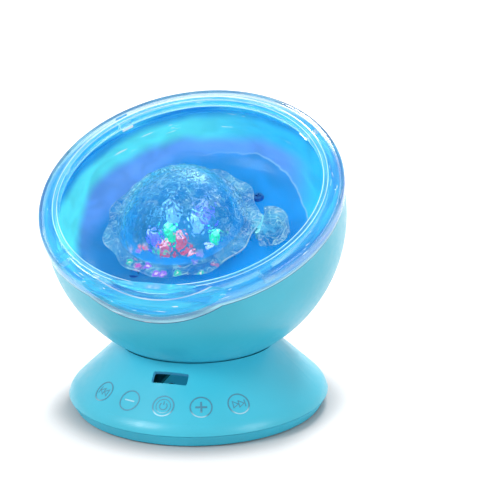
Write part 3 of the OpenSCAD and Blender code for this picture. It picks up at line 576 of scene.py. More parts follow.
def lit_reflector_finish():
    """Blue reflector: painted bands of light that follow the floor and the wall."""
    look = looks("reflector")
    material, graph = material_graph("lit_reflector")
    place = own_place(graph, BOWL)
    x, y, z = graph.parts(place)
    # Length along the profile from the middle of the floor, unevenly shifted
    floor_depth, shift, frayed = 18 * MM, 5 * MM, 1.6 * MM
    run = graph.plus(graph.across(place), graph.plus(z, floor_depth))
    swirl = graph.noise(place, 26 * MM, detail=1.5, roughness=0.4, distortion=0.3)
    run = graph.plus(run, graph.spread(swirl, 0, 1, -shift, shift, smooth=False))
    # Lengths between which the wall's band and the rim's begin
    wall_starts, rim_starts = (62 * MM, 70 * MM), (74.5 * MM, 80 * MM)
    # The floor's edge at the middle and its climb: at the back, and at the front
    back_edge, back_climb, front_edge, front_climb = 32 * MM, 0.5, 50 * MM, 0.15
    left_drop, painted_glint_place = 9 * MM, (74 * MM, 7 * MM)
    right = graph.spread(x, -24 * MM, 26 * MM)
    far_right = graph.spread(x, 24 * MM, 44 * MM)
    behind = graph.spread(y, -34 * MM, 14 * MM)
    # On the left the bright band hangs lower
    low_left = graph.times(graph.fall(x, -40 * MM, -20 * MM),
                           graph.fall(y, -8 * MM, 24 * MM))
    run_wall = graph.plus(run, graph.times(low_left, left_drop))
    azure = graph.most(right, graph.times(behind, 0.8))
    floor = graph.blend(azure, look.shade, look.azure)
    wall = graph.blend(right, look.cyan, look.pale)
    low_wall = graph.blend(behind, look.dusk, look.violet)
    low_wall = graph.blend(far_right, low_wall, look.pale)
    # The floor's edge climbs towards the back and is crisp on the right
    ragged = graph.spread(graph.noise(place, 5 * MM, detail=3), 0, 1, -frayed, frayed,
                          smooth=False)
    edge = graph.most(graph.plus(graph.times(y, back_climb), back_edge),
                      graph.minus(front_edge, graph.times(y, front_climb)))
    over = graph.plus(graph.minus(run, edge), ragged)
    soft = graph.spread(over, -6 * MM, 5 * MM)
    crisp = graph.spread(over, -0.4 * MM, 0.4 * MM)
    step = graph.blend(graph.times(right, 0.75), soft, crisp)
    colour = graph.blend(step, floor, low_wall)
    colour = graph.blend(graph.spread(run_wall, *wall_starts), colour, wall)
    colour = graph.blend(graph.spread(run, *rim_starts), colour, look.rim)
    streak = graph.noise(graph.vector("MULTIPLY", place, (1, 1, 2)), 16 * MM, detail=2,
                         distortion=0.8)
    colour = graph.scaled(colour, graph.spread(streak, 0.3, 0.7, 0.9, 1.1))
    line = graph.times(graph.near(over, 0, 0.6 * MM), graph.times(right, behind))
    colour = graph.blend(graph.times(line, 0.6), colour, look.edge_line)
    # Painted highlights: short glints high on the wall at the back
    painted_glint = graph.times(
        graph.spread(graph.round_streaks(place, 1.4 * MM, 9 * MM), 0.66, 0.74),
        graph.near(run, *painted_glint_place), graph.spread(y, 10 * MM, 40 * MM))
    colour = graph.blend(painted_glint, colour, look.painted_glint)
    shader = graph.add("ShaderNodeBsdfPrincipled", {
        "Base Color": graph.scaled(colour, look.daylight), "Roughness": 0.24,
        "Specular IOR Level": 0.07, "Emission Color": colour, "Emission Strength": look.glow,
    })
    return finished(material, graph, shader.outputs[0], lit=True)


def ripple_finish(name, matrix, ior, seed=0.0, calm=0.0, bump=0.3, polish=0.03):
    """Clear crinkled plastic: curling lines and sparks of the lamps' light, painted as emission.
    """
    look = looks("dome")
    material, graph = material_graph(name)
    place = own_place(graph, matrix)
    spot = graph.vector("ADD", place, (seed, 0, 0))
    y, z = graph.parts(place)[1:]
    # Where the calm front, the mirrored lamps, the flange and the haze begin or end
    calm_front, lamp_front = (-22 * MM, 2 * MM), (-24 * MM, -17 * MM)
    lamp_top, flange_top, haze = (-6 * MM, -2 * MM), (-12 * MM, -9.5 * MM), (-12 * MM, -10 * MM)
    spark_cell, fleck_cell = 2.6 * MM, 4.4 * MM
    wide = graph.contours(spot, 4.2 * MM, 0.022)
    fine = graph.contours(spot, 1.9 * MM, 0.045, level=0.55, distortion=1.2)
    patch = graph.spread(graph.noise(spot, 9 * MM, detail=2), 0.44, 0.62)
    lines = graph.most(graph.times(wide, 0.75), graph.times(fine, patch))
    lines = graph.times(lines, graph.spread(y, *calm_front, calm, 1))
    # The flange's rim has the mark -1 and shows as a painted highlight, a line that comes and
    # goes
    mark = graph.add("ShaderNodeAttribute", attribute_name="outer").outputs["Fac"]
    edge = graph.times(graph.math("MULTIPLY", mark, -1.0, clamp=True),
                       graph.spread(graph.noise(spot, 7 * MM), 0.42, 0.56))
    lines = graph.most(lines, graph.times(edge, 0.7))
    # Painted glints: sparks of light in a few of the cells
    cell = graph.add("ShaderNodeTexVoronoi", {"Vector": spot, "Scale": 1 / spark_cell}).outputs
    few = graph.spread(graph.parts(cell["Color"])["X"], 0.84, 0.86)
    spark = graph.times(graph.fall(cell["Distance"], 0.08, 0.2), few,
                        graph.spread(patch, 0.2, 0.6))
    # Painted reflections of the lamps in the dome's front foot: larger flecks, each of one
    # colour
    ragged = graph.scaled(graph.noise(spot, 2 * MM, output="Color"), 4 * MM)
    fleck = graph.add("ShaderNodeTexVoronoi", {
        "Vector": graph.vector("ADD", spot, ragged), "Scale": 1 / fleck_cell}).outputs
    pick = graph.parts(fleck["Color"])
    flecks = graph.times(
        graph.fall(y, *lamp_front), graph.fall(z, *lamp_top),
        graph.spread(pick["X"], 0.4, 0.42), graph.fall(fleck["Distance"], 0.3, 0.5))
    core = graph.fall(fleck["Distance"], 0.1, 0.24)
    warm = graph.blend(graph.spread(pick["Z"], 0.4, 0.6), look.fleck_pink, look.fleck_violet)
    fleck_hue = graph.blend(graph.spread(pick["Y"], 0.5, 0.52), warm, look.fleck_green)
    fleck_hue = graph.blend(graph.times(core, 0.8), fleck_hue, look.fleck_core)
    hue = graph.noise(spot, 6 * MM, detail=1, output="Color")
    colour = graph.blend(0.35, look.line, graph.scaled(hue, 1.8))
    colour = graph.blend(spark, colour, look.spark)
    colour = graph.blend(flecks, colour, fleck_hue)
    # The flat flange shows painted veils of the light that runs round in it
    veil = graph.contours(spot, 7 * MM, 0.035, distortion=1.5)
    cloud = graph.spread(graph.noise(spot, 10 * MM, detail=2), 0.4, 0.62)
    veil_hue = graph.blend(cloud, look.veil, look.veil_pale)
    veil_hue = graph.blend(graph.times(veil, 0.5), veil_hue, look.line)
    colour = graph.blend(graph.most(lines, spark, flecks), veil_hue, colour)
    veil = graph.times(graph.fall(z, *flange_top), graph.spread(veil, 0, 1, 0.4, 0.7))
    relief = graph.add("ShaderNodeBump", {
        "Height": graph.noise(spot, 2.2 * MM, detail=2), "Strength": bump,
        "Distance": 0.5 * MM,
    }).outputs[0]
    glass = graph.add("ShaderNodeBsdfPrincipled", {
        "Base Color": look.tint, "Roughness": polish, "IOR": ior,
        "Specular Tint": look.gleam, "Transmission Weight": 1.0, "Normal": relief,
    })
    glow = graph.add("ShaderNodeEmission", {"Color": colour, "Strength": 1.0})
    cloudy = graph.add("ShaderNodeBsdfDiffuse", {"Color": look.haze})
    body = graph.add("ShaderNodeMixShader", {
        0: graph.times(graph.spread(z, *haze), look.cloud),
        1: glass.outputs[0], 2: cloudy.outputs[0]})
    share = graph.most(graph.times(lines, 0.8), spark, graph.times(flecks, 0.9), veil)
    lit = graph.add("ShaderNodeMixShader", {0: share, 1: body.outputs[0],
                                            2: glow.outputs[0]})
    shader = let_light_through(graph, lit.outputs[0], look.tint)
    return finished(material, graph, shader, lit=True)


def lamp_finish(name, rgb):
    """A lit lamp: pale at its round tip, its own deep colour below."""
    look = looks("lamps")
    material, graph = material_graph(name)
    height = graph.parts(own_place(graph, BOWL))["Z"]
    pale_from, pale_to = look.tip - 1.6 * MM, look.tip - 0.3 * MM
    tip = graph.spread(height, pale_from, pale_to)
    speck = graph.noise(own_place(graph), 1.1 * MM, distortion=1.0)
    flicker = graph.spread(speck, 0.35, 0.65, 0.25, 1.7)
    pale = [look.pallor + (1 - look.pallor) * c for c in rgb]
    colour = graph.blend(graph.times(tip, graph.spread(speck, 0.4, 0.62)), rgb, pale)
    strength = graph.spread(tip, 0, 1, look.strength * 0.45, look.strength)
    shader = graph.add("ShaderNodeBsdfPrincipled", {
        "Base Color": rgb, "Roughness": 0.12, "Emission Color": colour,
        "Emission Strength": graph.times(flicker, strength),
    })
    return finished(material, graph, shader.outputs[0], lit=True)


def board_finish(name, rgb, track):
    """Printed circuit board: solder mask with the copper tracks showing through."""
    material, graph = material_graph(name)
    place = own_place(graph)
    tracks = graph.add("ShaderNodeTexBrick", {
        "Vector": place, "Color1": rgb, "Color2": [c * 0.9 for c in rgb],
        "Mortar": track, "Scale": 160.0, "Mortar Size": 0.035, "Brick Width": 1.7,
        "Row Height": 0.4,
    }, offset=0.37, squash=0.7)
    patch = graph.spread(graph.noise(place, 6 * MM), 0.42, 0.56)
    colour = graph.blend(patch, rgb, tracks.outputs["Color"])
    shader = graph.add("ShaderNodeBsdfPrincipled", {
        "Base Color": colour, "Roughness": 0.32, "Coat Weight": 0.3, "Coat Roughness": 0.1,
    })
    return finished(material, graph, shader.outputs[0])


def metal_finish(name, rgb, roughness=0.3):
    """Plated steel with fine drawn lines."""
    material, graph = material_graph(name)
    place = own_place(graph)
    lines = graph.noise(graph.vector("MULTIPLY", place, (1, 1, 14)), 1.2 * MM, detail=3)
    shader = graph.add("ShaderNodeBsdfPrincipled", {
        "Base Color": rgb, "Metallic": 1.0,
        "Roughness": graph.spread(lines, 0.3, 0.7, roughness * 0.7, roughness * 1.3),
    })
    return finished(material, graph, shader.outputs[0])


def key_print_finish(name, rgb, pale, height):
    """Silvery screen print with a painted highlight in the lower half of a key."""
    material, graph = material_graph(name)
    place = own_place(graph)
    lower_half = height - 2.4 * MM, height - 0.8 * MM
    speck = graph.noise(place, 0.35 * MM, detail=2)
    colour = graph.blend(graph.spread(speck, 0.35, 0.65), [c * 0.88 for c in rgb], rgb)
    patch = graph.spread(graph.noise(place, 14 * MM, detail=0), 0.4, 0.55)
    # Painted highlight: the lower half of a key turns pale in patches
    bright = graph.times(graph.fall(graph.parts(place)["Z"], *lower_half), patch)
    colour = graph.blend(bright, colour, pale)
    shader = graph.add("ShaderNodeBsdfPrincipled", {
        "Base Color": colour, "Metallic": 0.35, "Roughness": 0.4,
    })
    return finished(material, graph, shader.outputs[0])


def paper_finish():
    """Pressed paper of the loudspeaker's cone."""
    material, graph = material_graph("speaker_paper")
    place = own_place(graph)
    fibre = graph.noise(place, 0.6 * MM, detail=5, roughness=0.7)
    colour = graph.blend(graph.spread(fibre, 0.3, 0.7), (0.03, 0.026, 0.022),
                         (0.085, 0.075, 0.065))
    relief = graph.add("ShaderNodeBump", {"Height": fibre, "Strength": 0.5,
                                          "Distance": 0.1 * MM}).outputs[0]
    shader = graph.add("ShaderNodeBsdfPrincipled",
                       {"Base Color": colour, "Roughness": 0.9, "Normal": relief})
    return finished(material, graph, shader.outputs[0])


def give(material, *nodes):
    """Puts a finish on CAD nodes."""
    for name in nodes:
        mesh = NODES[name].data
        mesh.materials.clear()
        mesh.materials.append(material)


# ---------------------------------------------------------------- mesh tools

def mesh_of(form, name):
    """Turns an edited form into a mesh."""
    mesh = bpy.data.meshes.new(name)
    form.to_mesh(mesh)
    form.free()
    return mesh


def new_object(name, data):
    """A new object, linked to the scene."""
    thing = bpy.data.objects.new(name, data)
    bpy.context.scene.collection.objects.link(thing)
    return thing


def turned_mesh(name, profile, spokes, matrix, radius_at=None):
    """Turns a closed profile of (radius, height, mark) round Z; the marks are kept."""
    form = bmesh.new()
    mark_layer = form.verts.layers.float.new("outer")
    rings = []
    for radius, height, mark in profile:
        if radius < 1e-9:
            spots = [(0.0, 0.0)]
        else:
            spots = []
            for step in range(spokes):
                angle = 2 * math.pi * step / spokes
                reach = radius_at(radius, height, angle) if radius_at else radius
                spots.append((reach * math.cos(angle), reach * math.sin(angle)))
        ring = []
        for px, py in spots:
            vertex = form.verts.new((px, py, height))
            vertex[mark_layer] = mark
            ring.append(vertex)
        rings.append(ring)
    for upper, lower in zip(rings, rings[1:]):
        for step in range(spokes):
            after = (step + 1) % spokes
            corners = [upper[step % len(upper)], lower[step % len(lower)],
                       lower[after % len(lower)], upper[after % len(upper)]]
            form.faces.new(list(dict.fromkeys(corners)))
    bmesh.ops.recalc_face_normals(form, faces=form.faces)
    for face in form.faces:
        face.smooth = True
    mesh = mesh_of(form, name)
    mesh.transform(matrix)
    return mesh


def islands(node):
    """The corner points of each separate solid in a CAD node."""
    form = bmesh.new()
    form.from_mesh(NODES[node].data)
    bmesh.ops.remove_doubles(form, verts=form.verts, dist=1e-6)
    left = set(form.verts)
    found = []
    while left:
        wave, island = [left.pop()], []
        while wave:
            vertex = wave.pop()
            island.append(vertex.co.copy())
            for edge in vertex.link_edges:
                other = edge.other_vert(vertex)
                if other in left:
                    left.remove(other)
                    wave.append(other)
        found.append(island)
    form.free()
    return sorted(found, key=lambda island: tuple(round(c, 6) for c in island[0]))


# ----------------------------------------------------------- geometry nodes

def modifier_tree(name, sockets):
    """A geometry tree with a mesh in and out, and the named inputs."""
    tree = bpy.data.node_groups.new(name, "GeometryNodeTree")
    graph = Graph(tree)
    tree.interface.new_socket("Geometry", in_out="OUTPUT", socket_type="NodeSocketGeometry")
    tree.interface.new_socket("Geometry", in_out="INPUT", socket_type="NodeSocketGeometry")
    keys = {}
    for label, kind in sockets:
        item = tree.interface.new_socket(label, in_out="INPUT",
                                         socket_type="NodeSocket" + kind)
        keys[label] = item.identifier
    return graph, keys, graph.add("NodeGroupInput").outputs


def close_tree(graph, geometry, material):
    """Ends a geometry tree: real faces with one material."""
    real = graph.add("GeometryNodeRealizeInstances", {0: geometry})
    dressed = graph.add("GeometryNodeSetMaterial", {0: real.outputs[0], "Material": material})
    graph.add("NodeGroupOutput", {0: dressed.outputs[0]})


def run_tree(piece, graph, keys, values):
    """Runs a geometry tree on a piece and keeps its result as the piece's mesh."""
    modifier = piece.modifiers.new("shape", "NODES")
    modifier.node_group = graph.tree
    for label, value in values.items():
        modifier[keys[label]] = value
    bpy.context.view_layer.update()
    solid = piece.evaluated_get(bpy.context.evaluated_depsgraph_get())
    mesh = bpy.data.meshes.new_from_object(solid)
    piece.modifiers.remove(modifier)
    piece.data = mesh
    return mesh


def ripple_tree():
    """Raises a lens-like bulge in each cell of the outer face."""
    graph, keys, given = modifier_tree("ripple_surface", [
        ("Ripple depth", "Float"), ("Ripple size", "Float"), ("Seed", "Float"),
        ("Material", "Material"),
    ])
    place = graph.add("GeometryNodeInputPosition").outputs[0]
    normal = graph.add("GeometryNodeInputNormal").outputs[0]
    outer = graph.add("GeometryNodeInputNamedAttribute", {"Name": "outer"},
                      data_type="FLOAT").outputs["Attribute"]
    size = given["Ripple size"]
    # Reach and lumps of the warp that bends the cells, in ripple sizes
    warp_reach, warps_in_ripple = 1.5, 1.3
    # Width and height of the fine cells beside the wide ones, and the mean height
    fine_width, fine_height, mean_height = 0.5, 0.45, 0.75
    warp = graph.add("ShaderNodeTexNoise", {
        "Vector": place, "W": given["Seed"], "Detail": 2.0,
        "Scale": graph.math("DIVIDE", warps_in_ripple, size),
    }, noise_dimensions="4D").outputs["Color"]
    warp = graph.vector("SUBTRACT", warp, (0.5, 0.5, 0.5))
    place = graph.vector("ADD", place, graph.scaled(warp, graph.times(size, warp_reach)))

    def bulges(width):
        edges = graph.add("ShaderNodeTexVoronoi", {
            "Vector": place, "W": given["Seed"],
            "Scale": graph.math("DIVIDE", 1.0, graph.times(size, width)),
        }, voronoi_dimensions="4D", feature="DISTANCE_TO_EDGE").outputs["Distance"]
        return graph.spread(edges, 0, 0.4)

    height = graph.plus(bulges(1.0), graph.times(bulges(fine_width), fine_height))
    height = graph.times(graph.minus(height, mean_height), graph.most(outer, 0.0),
                         given["Ripple depth"])
    moved = graph.add("GeometryNodeSetPosition", {
        "Geometry": given["Geometry"], "Offset": graph.scaled(normal, height)})
    close_tree(graph, moved.outputs[0], given["Material"])
    return graph, keys


def screw_tree():
    """A cross-head screw on each point, its head's top at the point."""
    graph, keys, given = modifier_tree("cross_head_screws", [
        ("Head radius", "Float"), ("Head height", "Float"), ("Shank radius", "Float"),
        ("Length", "Float"), ("Material", "Material"),
    ])
    radius, height = given["Head radius"], given["Head height"]
    # Shares of the head's radius: its top, and a slot's length and width
    top_share, slot_length, slot_width = 0.82, 1.1, 0.26

    def lowered(mesh, depth):
        drop = graph.add("ShaderNodeCombineXYZ", {"Z": graph.times(depth, -1.0)})
        return graph.add("GeometryNodeTransform",
                         {"Geometry": mesh, "Translation": drop.outputs[0]}).outputs[0]

    head = graph.add("GeometryNodeMeshCone", {
        "Vertices": 32, "Radius Top": graph.times(radius, top_share),
        "Radius Bottom": radius, "Depth": height,
    }).outputs["Mesh"]
    head = lowered(head, height)
    # Two slots, cut one after the other, the first a little deeper
    for long_axis, depth in (("X", 1.1), ("Y", 1.0)):
        sides = {axis: graph.times(radius, slot_length if axis == long_axis else slot_width)
                 for axis in "XY"}
        size = graph.add("ShaderNodeCombineXYZ", {**sides, "Z": graph.times(height, depth)})
        slot = graph.add("GeometryNodeMeshCube", {"Size": size.outputs[0]})
        head = graph.add("GeometryNodeMeshBoolean",
                         {"Mesh 1": head, "Mesh 2": slot.outputs["Mesh"]},
                         operation="DIFFERENCE").outputs["Mesh"]
    shank_h = graph.minus(given["Length"], height)
    shank = graph.add("GeometryNodeMeshCylinder", {
        "Vertices": 20, "Radius": given["Shank radius"], "Depth": shank_h,
    }).outputs["Mesh"]
    middle = graph.plus(height, graph.times(shank_h, 0.5))
    screw = graph.add("GeometryNodeJoinGeometry")
    for part in (head, lowered(shank, middle)):
        graph.tree.links.new(part, screw.inputs[0])
    placed = graph.add("GeometryNodeInstanceOnPoints",
                       {"Points": given["Geometry"], "Instance": screw.outputs[0]})
    close_tree(graph, placed.outputs[0], given["Material"])
    return graph, keys


# ------------------------------------------------------------------ operators

class PROJECTOR_OT_stage(Operator):
    """Build the pale floor, the soft lights and the white surroundings"""
    bl_idname = "projector.stage"
    bl_label = "Floor and lights"

    def execute(self, context):
        look = looks("stage")
        form = bmesh.new()
        bmesh.ops.create_circle(form, cap_ends=True, segments=96, radius=look.floor_radius)
        mesh = mesh_of(form, "floor")
        mesh.materials.append(self.floor_finish(look))
        floor = new_object("floor", mesh)
        # Name, place and size in metres, power in watts
        for name, place, size, power in (
            ("key_light", (-0.60, -0.72, 0.80), 0.50, 5.9),
            ("fill_light", (0.85, -0.40, 0.45), 0.45, 2.0),
            ("back_light", (0.05, 0.62, 0.85), 0.35, 7.0),
        ):
            self.soft_light(name, Vector(place), size, power)
        self.surroundings(context, look)
        context.scene.view_settings.view_transform = "Standard"
        return {"FINISHED"}

    @staticmethod
    def seen(graph):
        """1 for rays from the camera, a mirror or clear glass."""
        path = graph.add("ShaderNodeLightPath").outputs
        return graph.most(path["Is Camera Ray"], path["Is Glossy Ray"],
                          path["Is Transmission Ray"])

    def floor_finish(self, look):
        """Pale matt floor that looks whiter away from the object; the darker floor close round
        it is painted shadow.
        """
        material, graph = material_graph("pale_floor")
        place = own_place(graph)
        # Metres from the middle over which the floor whitens; within the first zone it stays
        # darker as a painted shadow round the base
        painted_shadow_zone, far_zone = (0.051, 0.068), (0.08, 0.3)
        speck = graph.spread(graph.noise(place, 60 * MM), 0.3, 0.7, 0.99, 1.01)
        matt = graph.add("ShaderNodeBsdfDiffuse", {"Color": graph.scaled(look.floor, speck)})
        reach = graph.length(place)
        glow = graph.plus(graph.spread(reach, *painted_shadow_zone, 0, look.lift_near),
                          graph.spread(reach, *far_zone, 0, look.lift_far - look.lift_near))
        lift = graph.add("ShaderNodeEmission", {
            "Color": WHITE, "Strength": graph.times(self.seen(graph), glow)})
        both = graph.add("ShaderNodeAddShader", {0: matt.outputs[0], 1: lift.outputs[0]})
        return finished(material, graph, both.outputs[0])

    @staticmethod
    def soft_light(name, place, size, power):
        """A round area light that faces the middle."""
        lamp = bpy.data.lights.new(name, "AREA")
        lamp.shape = "DISK"
        lamp.size = size
        lamp.energy = power
        light = new_object(name, lamp)
        light.location = place
        light.rotation_euler = (place - MIDDLE).to_track_quat("Z", "Y").to_euler()
        light.visible_camera = False

    def surroundings(self, context, look):
        """White where it is seen, dimmer where it only gives light."""
        world = bpy.data.worlds.new("studio")
        world.use_nodes = True
        context.scene.world = world
        graph = Graph(world.node_tree)
        strength = graph.spread(self.seen(graph), 0, 1, look.ambient, 1.0, smooth=False)
        light = graph.add("ShaderNodeBackground", {"Color": WHITE, "Strength": strength})
        graph.add("ShaderNodeOutputWorld", {"Surface": light.outputs[0]})


class PROJECTOR_OT_camera(Operator):
    """Set the camera in front of the object, a little to the right and above"""
    bl_idname = "projector.camera"
    bl_label = "Camera"

    azimuth = math.radians(17.67)
    elevation = math.radians(16.16)
    roll = math.radians(-1.12)
    distance = 0.6006
    # How far it looks past the middle, as slopes to the right and up
    aim_right = 0.0363
    aim_up = 0.00702

    def execute(self, context):
        back = Vector((math.sin(self.azimuth) * math.cos(self.elevation),
                       -math.cos(self.azimuth) * math.cos(self.elevation),
                       math.sin(self.elevation)))
        level = Vector((math.cos(self.azimuth), math.sin(self.azimuth), 0))
        upward = back.cross(level)
        right = level * math.cos(self.roll) + upward * math.sin(self.roll)
        above = upward * math.cos(self.roll) - level * math.sin(self.roll)
        behind = (back - self.aim_right * right - self.aim_up * above).normalized()
        right = (right - right.dot(behind) * behind).normalized()
        above = behind.cross(right)
        data = bpy.data.cameras.new("camera")
        data.sensor_width = 36
        data.lens = looks("stage").lens
        data.clip_start = 0.02
        camera = new_object("camera", data)
        turn = Matrix((right, above, behind)).transposed().to_4x4()
        camera.matrix_world = Matrix.Translation(MIDDLE + back * self.distance) @ turn
        context.scene.camera = camera
        return {"FINISHED"}


class PROJECTOR_OT_shells(Operator):
    """Give the bowl, the base shells and the feet their moulded finish"""
    bl_idname = "projector.shells"
    bl_label = "Bowl and base"

    def execute(self, context):
        look = looks("shell")
        same = {"roughness": look.roughness, "grain": look.grain, "shift": 0.03, "coat": 0.15}
        give(moulded_finish("teal_shell", look.colour, **same), "bowl_shell")
        give(moulded_finish("teal_base", look.colour, light=painted_glow_in_window, **same),
             "base_top_shell")
        # The bottom shell's lighter colour is painted bounce light from the floor
        give(moulded_finish("teal_underside", look.under, 0.5, look.grain, bump=0.12,
                            light=painted_glow_on_inner_floor), "base_bottom_shell")
        give(moulded_finish("foot_rubber", (0.022, 0.022, 0.024), 0.8, 0.4 * MM, bump=0.3),
             "rubber_feet")
        return {"FINISHED"}


class PROJECTOR_OT_keys(Operator):
    """Print the symbols inside the key rings"""
    bl_idname = "projector.keys"
    bl_label = "Key print"

    def execute(self, context):
        look = looks("keys")
        shell = looks("shell")
        rings = islands("touch_icons")
        if len(rings) != 5:
            raise RuntimeError("the key rings are not five")
        middles = [sum(ring, Vector()) / len(ring) for ring in rings]
        highlight_rgb, height = shell.print_highlight, middles[0].z
        ink = key_print_finish("key_print", shell.print_colour, highlight_rgb, height)
        pale = key_print_finish("key_print_highlight", highlight_rgb, highlight_rgb, height)
        middles.sort(key=lambda middle: math.atan2(middle.x, -middle.y))
        face = min(self.over_cone(point) for ring in rings for point in ring)
        symbols = [self.skip(-1), self.minus(), self.power(), self.plus(), self.skip(1)]
        for number, (middle, strokes) in enumerate(zip(middles, symbols)):
            form = bmesh.new()
            for points, closed, width in strokes:
                self.stroke(form, [Vector(p) * look.size for p in points], closed,
                            width * look.stroke,
                            lambda u, v, h: self.on_cone(middle, face, u, v, h),
                            look.thickness)
            bmesh.ops.recalc_face_normals(form, faces=form.faces)
            mesh = mesh_of(form, "key_symbol")
            # The minus key's symbol takes the all-pale copy: a painted highlight
            mesh.materials.append(pale if number == 1 else ink)
            piece = new_object(f"key_symbol_{number + 1}", mesh)
            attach(piece, "base")
        give(ink, "touch_icons")
        return {"FINISHED"}

    def over_cone(self, point):
        """How far a point lies along the cone's outward normal."""
        reach = math.hypot(point.x, point.y)
        return reach * CONE_SIN + point.z * CONE_COS

    def on_cone(self, middle, face, u, v, h):
        """A place on the cone: u to the right of a key, v up the slope, h above it."""
        reach = math.hypot(middle.x, middle.y)
        turn = math.atan2(middle.x, -middle.y) + u / reach
        lift = (face - reach * CONE_SIN) / CONE_COS
        out = reach - v * CONE_COS + h * CONE_SIN
        height = lift + v * CONE_SIN + h * CONE_COS
        return Vector((out * math.sin(turn), -out * math.cos(turn), height))

    @staticmethod
    def stroke(form, points, closed, width, place, thickness):
        """Adds one flat printed line of even width, sunk a little into the shell."""
        sunk, sharpest = -0.02 * MM, 0.3
        count = len(points)
        sides = []
        for index, point in enumerate(points):
            before = points[index - 1] if closed or index else point
            after = points[(index + 1) % count] if closed or index < count - 1 else point
            first = (point - before).normalized() if point != before else None
            second = (after - point).normalized() if after != point else None
            first, second = first or second, second or first
            lean = Vector((-(first.y + second.y), first.x + second.x)).normalized()
            reach = width / 2 / max(sharpest, lean.dot(Vector((-first.y, first.x))))
            sides.append((point + lean * reach, point - lean * reach))
        rows = []
        for left, right in sides:
            corners = ((left, sunk), (right, sunk), (right, thickness), (left, thickness))
            rows.append([form.verts.new(place(p.x, p.y, h)) for p, h in corners])
        spans = list(zip(rows, rows[1:])) + ([(rows[-1], rows[0])] if closed else [])
        for here, there in spans:
            for side in range(4):
                after = (side + 1) % 4
                form.faces.new((here[side], here[after], there[after], there[side]))
        if not closed:
            form.faces.new(rows[0])
            form.faces.new(rows[-1])

    # Each symbol is a list of lines: corners in symbol sizes, closed or not, width in strokes

    @staticmethod
    def skip(way):
        """Two outlined arrow heads and a bar."""
        arrow = [(-1.1, 0.66), (-1.1, -0.66), (-0.08, 0)]
        second = [(0.04, 0.66), (0.04, -0.66), (1.06, 0)]
        bar = [(1.24, 0.7), (1.24, -0.7)]
        parts = [(arrow, True, 0.7), (second, True, 0.7), (bar, False, 0.8)]
        return [([(way * x, y) for x, y in line], closed, width)
                for line, closed, width in parts]

    @staticmethod
    def minus():
        """One bar."""
        return [([(-1.05, 0), (1.05, 0)], False, 1.3)]

    @staticmethod
    def plus():
        """An upright bar and two that meet it from the sides."""
        return [([(-1.08, 0), (-0.16, 0)], False, 1.8), ([(0.16, 0), (1.08, 0)], False, 1.8),
                ([(0, -1.08), (0, 1.08)], False, 1.8)]

    @staticmethod
    def power():
        """An open ring with a bar in its gap, inside a closed ring."""
        def arc(radius, start, end, steps):
            return [(radius * math.sin(math.radians(start + (end - start) * i / steps)),
                     radius * math.cos(math.radians(start + (end - start) * i / steps)))
                    for i in range(steps + 1)]
        return [(arc(0.72, 38, 322, 28), False, 0.9), ([(0, 0.25), (0, 0.95)], False, 0.9),
                (arc(1.38, 0, 345, 46) + arc(1.38, 352, 352, 1)[:1], True, 0.6)]


class PROJECTOR_OT_cover(Operator):
    """Make the cover, the window and its clips clear"""
    bl_idname = "projector.cover"
    bl_label = "Clear cover"

    def execute(self, context):
        look = looks("clear")
        give(lit_cover_finish(), "clear_cover")
        give(window_finish(), "window_lens")
        give(clear_finish("clear_clip", look.tint, look.ior, 0.05), "cover_clips")
        return {"FINISHED"}


class PROJECTOR_OT_reflector(Operator):
    """Paint the lamps' light on the glossy reflector"""
    bl_idname = "projector.reflector"
    bl_label = "Reflector"

    def execute(self, context):
        give(lit_reflector_finish(), "reflector")
        return {"FINISHED"}


